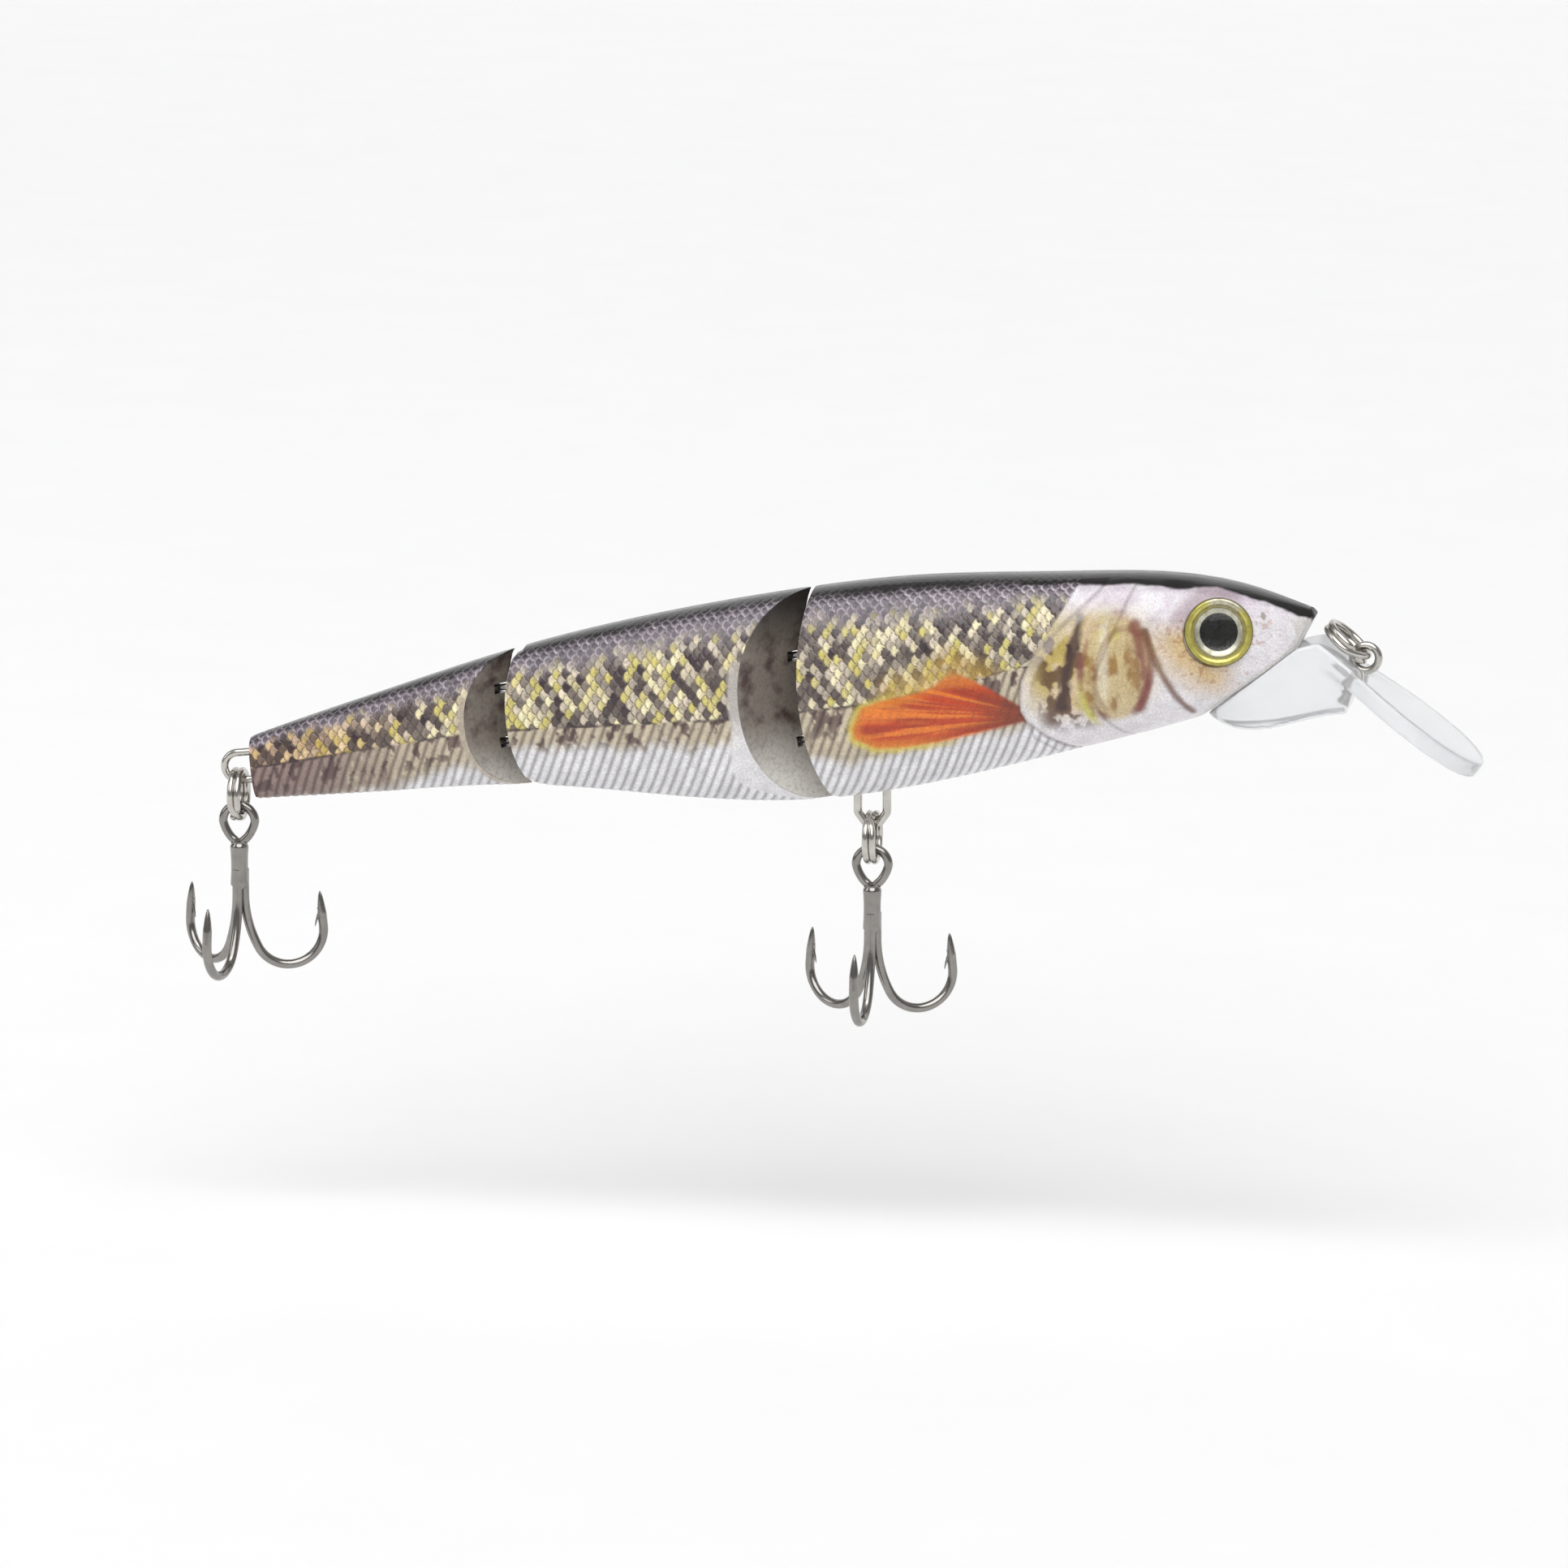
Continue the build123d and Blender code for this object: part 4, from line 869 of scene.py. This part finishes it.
def make_core(part, hand):
    """A section's shell as packed, its patterned outside let in to make room for the skin."""
    node = f"{part}_shell_" + ("left" if hand > 0 else "right")
    core = linked(node.replace("shell", "core"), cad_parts[node].data.copy())
    co = np.zeros(len(core.data.vertices) * 3, np.float32)
    core.data.vertices.foreach_get("co", co)
    co = co.reshape(-1, 3) / MM
    along, height, width = co @ ALONG, co @ UP, co @ SIDEWAYS
    middle = (body_top(along) + body_bottom(along)) / 2
    half = (body_top(along) - body_bottom(along)) / 2
    out = (np.abs((height - middle) / half)**POWER + np.abs(width / body_width(along))**POWER)**(1 / POWER)
    span = np.hypot(height - middle, width) + 1e-9
    room = CORE_ROOM * smooth(0.9, 0.95, out) / span
    height, width = height - (height - middle) * room, width - width * room
    core.data.vertices.foreach_set("co", point(along, height, width).astype(np.float32).ravel())
    core.data.update()
    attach(core, part)
    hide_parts(node)
    return dress(core, joint_paint)


for part, columns, rows in (("head", 405, 221), ("mid", 245, 213), ("tail", 221, 133)):
    for hand in (-1, 1):
        dress(make_skin(part, hand, columns, rows), skin_print)
        make_core(part, hand)


# ---------------------------------------------------------------- eyes
def eye_frame(hand):
    """Origin and axes of an eye: across, up and the way it looks."""
    look = (SIDEWAYS * hand * cos(EYE_FORWARD) * cos(EYE_RISE) + ALONG * sin(EYE_FORWARD)
            + UP * sin(EYE_RISE))
    look /= np.linalg.norm(look)
    across = ALONG - look * (ALONG @ look)
    across /= np.linalg.norm(across)
    return point(EYE[0], EYE[1], hand * EYE_SIDE), across, np.cross(look, across), look


def lathe(profile, frame_of, name, slot, node, steps=96):
    """A turned piece from a profile of (radius, depth) in millimetres, closed at both ends."""
    origin, across, up, look = frame_of
    turn = np.linspace(0, 2 * pi, steps, endpoint=False)
    ring = np.cos(turn)[:, None] * across + np.sin(turn)[:, None] * up
    verts = [origin + MM * profile[0][1] * look]
    for radius, depth in profile[1:-1]:
        verts += list(origin + MM * (radius * ring + depth * look))
    verts.append(origin + MM * profile[-1][1] * look)
    rings, faces = len(profile) - 2, []
    last_ring = 1 + (rings - 1) * steps
    for j in range(steps):
        k = (j + 1) % steps
        faces += [(0, 1 + k, 1 + j), (len(verts) - 1, last_ring + j, last_ring + k)]
        for i in range(rings - 1):
            a, b = 1 + i * steps, 1 + (i + 1) * steps
            faces += [(a + j, a + k, b + k), (a + j, b + k, b + j)]
    return mesh_piece(name, verts, faces, "head", slot, node)


def round_profile(points, steps=7):
    """A smooth line through profile points."""
    points = np.array(points, float)
    run = np.arange(len(points))
    fine = np.linspace(0, len(points) - 1, (len(points) - 1) * steps + 1)
    return np.stack([spline(run, points[:, k])(fine) for k in (0, 1)], -1)


for hand, side_name in ((-1, "right"), (1, "left")):
    place_of = eye_frame(hand)
    top = EYE_DEPTH
    bead = round_profile([(3.42, top - 0.75), (3.49, top - 0.42), (3.38, top - 0.1), (3.12, top - 0.005),
                          (2.86, top - 0.1), (2.66, top - 0.3)])
    dish = round_profile([(2.6, top - 0.36), (2.3, top - 0.46), (2.0, top - 0.52), (1.9, top - 0.54)], 5)
    pupil = [(1.86, top - 0.55), (1.2, top - 0.55), (0.6, top - 0.55)]
    profile = [(0, 0.0), (3.4, 0.0), *map(tuple, bead), *map(tuple, dish), *pupil, (0, top - 0.55)]
    disc = lathe(profile, place_of, f"eye_iris_{side_name}", "eye_paint", f"eye_disc_{side_name}")
    co = np.array([v.co for v in disc.data.vertices]) / MM - place_of[0] / MM
    flat = np.stack([co @ place_of[1], co @ place_of[2]], -1)
    radius, turn = np.hypot(*flat.T), np.arctan2(flat[:, 1], flat[:, 0])
    tone = mix(np.tile(colour(8, 8, 10), (len(co), 1)), colour(226, 224, 210), smooth(1.86, 1.94, radius))
    tone = mix(tone, colour(206, 196, 110), smooth(2.15, 2.75, radius))
    tone = mix(tone, colour(186, 178, 84), smooth(2.9, 3.2, radius))
    glint = smooth(0.75, 0.95, np.sin(turn + 0.3)) * smooth(2.0, 2.6, radius) * 0.8
    tone = mix(tone, colour(196, 192, 182), glint)
    tone = mix(tone, colour(96, 88, 40), smooth(3.28, 3.48, radius))
    give(disc, "print_and_painted_light", tone)
    give(disc, "iris", 0.55 * smooth(1.86, 1.96, radius))
    dress(disc, eye_paint)
    lens_edge = 2.6
    dome = [(lens_edge * sin(a), top - 0.32 + 0.62 * cos(a)) for a in np.linspace(pi / 2, 0.0, 14)]
    lens = [(0, top - 0.34), (2.3, top - 0.34), *dome[:-1], (0, dome[-1][1])]
    dress(lathe(lens, place_of, f"eye_lens_{side_name}", "eye_lens", f"eye_dome_{side_name}"), eye_lens)


# ---------------------------------------------------------------- wire: rings, hooks and fittings
def tube(path, radii, sides=14):
    """A round tube of varying radius along a path of points, in millimetres."""
    path = np.asarray(path, float)
    radii = np.broadcast_to(radii, len(path))
    ahead = np.gradient(path, axis=0)
    ahead /= np.linalg.norm(ahead, axis=1, keepdims=True)
    normal = np.cross(ahead[0], [0.31, 0.9, 0.28])
    normals = []
    for way in ahead:
        normal = normal - way * (normal @ way)
        normal /= np.linalg.norm(normal)
        normals.append(normal)
    normals = np.array(normals)
    sides_of = np.cross(ahead, normals)
    turn = np.linspace(0, 2 * pi, sides, endpoint=False)
    ring = (np.cos(turn)[None, :, None] * normals[:, None] + np.sin(turn)[None, :, None] * sides_of[:, None])
    verts = (path[:, None] + radii[:, None, None] * ring).reshape(-1, 3)
    faces = grid_faces(len(path), sides, wrap=True)[:, ::-1]
    tris = np.concatenate([faces[:, [0, 1, 2]], faces[:, [0, 2, 3]]])
    ends = np.array([path[0], path[-1]])
    last, count = (len(path) - 1) * sides, len(verts)
    caps = []
    for j in range(sides):
        k = (j + 1) % sides
        caps += [(count, j, k), (count + 1, last + k, last + j)]
    return np.concatenate([verts, ends]), np.concatenate([tris, caps])


def joined(*shapes):
    """Several closed shapes as one list of points and one of faces."""
    verts, faces, start = [], [], 0
    for v, f in shapes:
        verts.append(v)
        faces.append(np.asarray(f) + start)
        start += len(v)
    return np.concatenate(verts), np.concatenate(faces)


RING_RADIUS, RING_WIRE, COIL_OFFSET = 2.44, 0.36, 0.34
COIL_GAP, COIL_CROSSING = 0.25, 0.75      # radians short of two turns, and each side of the crossing


def split_ring(name, node, body, centre, axis, start_turn):
    """A two-turn coil of wire whose ends lie flat against the coil."""
    axis = np.array(axis, float)
    across = np.cross(axis, [0, 1, 0])
    across /= np.linalg.norm(across)
    up = np.cross(axis, across)
    turn = np.linspace(0.0, 4 * pi - COIL_GAP, 190)
    step = smooth(2 * pi - COIL_CROSSING, 2 * pi + COIL_CROSSING, turn) * 2 - 1
    path = (np.array(centre) + RING_RADIUS * (np.cos(turn + start_turn)[:, None] * across
                                              + np.sin(turn + start_turn)[:, None] * up)
            + (COIL_OFFSET * step)[:, None] * axis)
    radii = RING_WIRE * np.clip(0.55 + 0.45 * smooth(0, 0.22, np.minimum(turn, turn[-1] - turn)), 0, 1)
    verts, faces = tube(path, radii)
    return dress(mesh_piece(name, verts * MM, faces, body, "nickel_wire", node), nickel)


def middle_of(node):
    """The middle of a CAD node's box, in millimetres."""
    low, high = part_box(node)
    return np.array((low + high) / 2) / MM


LINE_LEAN = radians(41.0)
split_ring("line_ring_coil", "line_tie_split_ring", "line_ring", middle_of("line_tie_split_ring"),
           (sin(LINE_LEAN), 0, cos(LINE_LEAN)), 2.2)
split_ring("belly_ring_coil", "belly_split_ring", "belly_ring", middle_of("belly_split_ring"), (1, 0, 0), 0.6)
split_ring("tail_ring_coil", "tail_split_ring", "tail_ring", middle_of("tail_split_ring"), (1, 0, 0), 2.5)

HOOK_WIRE, HOOK_LENGTH, HOOK_EYE, EYE_PLAY, SHANK = 0.48, 18.0, 1.2, 0.8, 0.5
BEND_REACH, BEND_RADIUS, FLARE = 5.1, 3.6, 4.12
POINT_LEAN, POINT_LENGTH = radians(5.5), 3.7
EYE_OPENING = 0.32                        # radians each side, where the bent eye's wire leaves it
NECK_DROP, NECK_HALF = 2.0, 0.42          # how far down its ends meet, and half their spacing
BEND_HEIGHT = EYE_PLAY + 3 * HOOK_WIRE - HOOK_LENGTH + BEND_RADIUS
FLARE_RADIUS = ((FLARE**2 + (BEND_REACH - SHANK)**2 - BEND_RADIUS**2)
                / (2 * (BEND_REACH - SHANK - BEND_RADIUS)))
FLARE_TURN = atan2(FLARE, SHANK + FLARE_RADIUS - BEND_REACH)


def tine_path():
    """One hook in its own plane: out from the treble's axis, and up."""
    arc = np.linspace(0, FLARE_TURN, 26)
    line = [(SHANK, h) for h in np.linspace(BEND_HEIGHT + FLARE + 2.6, BEND_HEIGHT + FLARE, 8)[:-1]]
    line += [(SHANK + FLARE_RADIUS * (1 - cos(a)), BEND_HEIGHT + FLARE - FLARE_RADIUS * sin(a)) for a in arc]
    end = np.array(line[-1])
    heading = -pi / 2 + FLARE_TURN
    centre = end + BEND_RADIUS * np.array([-sin(heading), cos(heading)])
    sweep = pi + POINT_LEAN - FLARE_TURN
    for a in np.linspace(0, sweep, 44)[1:]:
        line.append(centre + BEND_RADIUS * np.array([sin(heading + a), -cos(heading + a)]))
    heading += sweep
    tip = np.array(line[-1])
    for s in np.linspace(0, POINT_LENGTH, 26)[1:]:
        line.append(tip + s * np.array([cos(heading), sin(heading)]))
    return np.array(line), tip, np.array([cos(heading), sin(heading)])


def tine(turn):
    """One hook of a treble about the pivot, with a sliced barb and a needle point."""
    outward = np.array([cos(radians(turn)), sin(radians(turn)), 0.0])
    flat, tip, way = tine_path()
    path = flat[:, :1] * outward + flat[:, 1:] * np.array([0, 0, 1.0])
    to_go = np.concatenate([np.cumsum(np.linalg.norm(np.diff(flat, axis=0), axis=1)[::-1])[::-1], [0]])
    radii = HOOK_WIRE * np.sqrt(np.clip(to_go / (POINT_LENGTH * 0.62), 0.012, 1))
    inner = np.array([-way[1], way[0]])
    barb_root = tip + way * 1.5
    barb = [barb_root + inner * 0.30, barb_root + inner * 0.62 - way * 0.75,
            barb_root + inner * 0.86 - way * 1.45]
    barb = np.array([barb[0] + way * 0.5, *barb])
    fine = np.linspace(0, 3, 16)
    barb = np.stack([spline(np.arange(4), barb[:, k])(fine) for k in (0, 1)], -1)
    barb3 = barb[:, :1] * outward + barb[:, 1:] * np.array([0, 0, 1.0])
    return joined(tube(path, radii, 16), tube(barb3, 0.2 * np.sqrt(np.linspace(1, 0.02, 16)), 10))


def treble(name, nodes, body, pivot, turn):
    """A treble hook: three brazed tines, the barrel between them and the bent eye."""
    eye_height = EYE_PLAY - HOOK_EYE
    loop = []
    eye_line = HOOK_EYE + HOOK_WIRE
    for a in np.linspace(-pi / 2 + EYE_OPENING, 3 * pi / 2 - EYE_OPENING, 60):
        drawn_in = max(0.0, -sin(a))
        loop.append((eye_line * cos(a) * (1 - 0.25 * drawn_in), 0,
                     eye_height + eye_line * sin(a) - drawn_in * 0.5))
    start, end = np.array(loop[0]), np.array(loop[-1])
    neck = np.array([0, 0, eye_height - HOOK_EYE - HOOK_WIRE - NECK_DROP])
    root_a = [start + (neck + [NECK_HALF, 0, 0] - start) * s for s in np.linspace(1, 0, 8)[:-1]]
    root_b = [end + (neck - [NECK_HALF, 0, 0] - end) * s for s in np.linspace(0, 1, 8)[1:]]
    eye = tube(np.array(root_a + loop + root_b), HOOK_WIRE * 0.96, 16)
    top, bottom = eye_height - HOOK_EYE - HOOK_WIRE - 0.5, BEND_HEIGHT + FLARE + 0.5
    heights = np.linspace(0, 1, 26)
    barrel_path = [(0, 0, top + (bottom - top) * s) for s in heights]
    swell = (1.0 - 0.12 * np.sin(heights * pi) - 0.35 * smooth(0.9, 1.0, heights)
             - 0.3 * smooth(0.1, 0.0, heights))
    barrel = tube(barrel_path, swell, 24)
    verts, faces = joined(tine(turn + 30), tine(turn + 150), tine(turn - 90), eye, barrel)
    piece = mesh_piece(name, (verts + np.array(pivot)) * MM, faces, body, "hook_steel", *nodes)
    return dress(piece, hook_steel)


def pivot_below(ring_node):
    """Where a treble's eye hangs in its ring."""
    middle = middle_of(ring_node)
    return middle[0], 0.0, middle[2] - RING_RADIUS


treble("belly_treble_hook", ("belly_hook_pair", "belly_hook_single"), "belly_treble",
       pivot_below("belly_split_ring"), -3.0)
treble("tail_treble_hook", ("tail_hook_pair", "tail_hook_single"), "tail_treble",
       pivot_below("tail_split_ring"), -10.0)

for node in ("belly_hanger", "tail_hanger", "line_tie_eye"):
    dress_node(node, nickel)
for node in ("joint1_pin", "joint2_pin", "joint1_upper_eyelet", "joint1_lower_eyelet",
             "joint2_upper_eyelet", "joint2_lower_eyelet"):
    dress_node(node, pin_steel)
for node in ("head_ballast", "mid_ballast", "head_rattle_ball", "mid_rattle_ball"):
    dress_node(node, ballast_steel)

# ---------------------------------------------------------------- the clear lip
LIP_VOXEL, LIP_SOFTENING = 0.16 * MM, 22
lip = linked("clear_diving_lip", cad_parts["diving_lip"].data.copy())
remesh = lip.modifiers.new("even", "REMESH")
remesh.mode, remesh.voxel_size, remesh.use_smooth_shade = "VOXEL", LIP_VOXEL, True
soften = lip.modifiers.new("soften", "SMOOTH")
soften.factor, soften.iterations = 0.5, LIP_SOFTENING
evened = bpy.data.meshes.new_from_object(lip.evaluated_get(bpy.context.evaluated_depsgraph_get()))
lip.modifiers.clear()
lip.data = evened
for polygon in lip.data.polygons:
    polygon.use_smooth = True
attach(lip, "head")
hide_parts("diving_lip")
dress(lip, clear_lip)

# ---------------------------------------------------------------- floor, light and camera
FLOOR, FLOOR_SIDE, FLOOR_NEAR = -0.062, 4.0, -3.0
SWEEP_START, SWEEP_RADIUS, SWEEP_TOP = 1.6, 0.9, 3.0


def make_floor():
    """A pale sweep: level under the lure, curving up far behind it."""
    profile = [(FLOOR_NEAR, 0.0), (SWEEP_START, 0.0)]
    profile += [(SWEEP_START + SWEEP_RADIUS * sin(a), SWEEP_RADIUS * (1 - cos(a)))
                for a in np.linspace(0, pi / 2, 20)[1:]]
    profile.append((SWEEP_START + SWEEP_RADIUS, SWEEP_TOP))
    verts = [(x, y, FLOOR + z) for x in (-FLOOR_SIDE, FLOOR_SIDE) for y, z in profile]
    faces = grid_faces(2, len(profile))[:, ::-1]
    mesh = bpy.data.meshes.new("pale_floor")
    mesh.from_pydata(verts, [], [tuple(int(i) for i in f) for f in faces])
    for polygon in mesh.polygons:
        polygon.use_smooth = True
    floor = linked("pale_floor", mesh)
    made, nodes, links, shader = new_material("pale_floor")
    grain = noise_node(nodes, links, 60.0, 3.0)
    links.new(mix_node(nodes, links, ranged(nodes, links, grain.outputs[0], 0.3, 0.7),
                       (0.94, 0.94, 0.94), (0.93, 0.93, 0.93)), shader.inputs["Base Color"])
    shader.inputs["Roughness"].default_value = 0.9
    shader.inputs["Specular IOR Level"].default_value = 0.1
    dress(floor, made)


make_floor()


def area_light(name, place_at, aim, size, power):
    """A soft rectangular lamp, in metres and watts."""
    light = bpy.data.lights.new(name, "AREA")
    light.shape, light.size, light.size_y, light.energy = "RECTANGLE", size[0], size[1], power
    holder = linked(name, light)
    holder.location = place_at
    holder.rotation_euler = (Vector(aim) - Vector(place_at)).to_track_quat("-Z", "Y").to_euler()


MIDDLE = (-0.055, 0.0, -0.01)
area_light("soft_top", place_at=(-0.1, -0.25, 0.9), aim=MIDDLE, size=(1.1, 0.3), power=1.3)
area_light("soft_side", place_at=(-0.8, -0.3, 0.4), aim=MIDDLE, size=(0.3, 0.5), power=0.8)
daylight = bpy.data.lights.new("wide_daylight", "SUN")
daylight.energy, daylight.angle = 2.1, radians(60.0)
daylight_holder = linked("wide_daylight", daylight)
daylight_holder.rotation_euler = Vector((-0.1, 0.62, -0.78)).to_track_quat("-Z", "Y").to_euler()
world = bpy.data.worlds.new("studio")
world.use_nodes = True
world.node_tree.nodes["Background"].inputs["Color"].default_value = (1, 1, 1, 1)
world.node_tree.nodes["Background"].inputs["Strength"].default_value = 0.3
bpy.context.scene.world = world
bpy.context.scene.view_settings.view_transform = "Standard"

AZIMUTH, ELEVATION = radians(10.0), radians(11.0)
FRAME_WIDTH, DISTANCE, SENSOR = 0.15836, 0.95, 36.0   # metres, metres, millimetres
AIM_RIGHT, AIM_ABOVE = -0.05877, -0.01275   # of the picture's middle, from the line tie
towards = Vector((sin(AZIMUTH) * cos(ELEVATION), -cos(AZIMUTH) * cos(ELEVATION), sin(ELEVATION)))
right = Vector((cos(AZIMUTH), sin(AZIMUTH), 0))
above = towards.cross(right)
target = right * AIM_RIGHT + above * AIM_ABOVE
camera_data = bpy.data.cameras.new("camera")
camera_data.sensor_width = SENSOR
camera_data.lens = SENSOR * DISTANCE / FRAME_WIDTH
camera_data.clip_start, camera_data.clip_end = 0.05, 20.0
camera = linked("camera", camera_data)
camera.location = target + towards * DISTANCE
camera.rotation_mode = "QUATERNION"
camera.rotation_quaternion = (-towards).to_track_quat("-Z", "Y")
bpy.context.scene.camera = camera

bpy.context.view_layer.update()
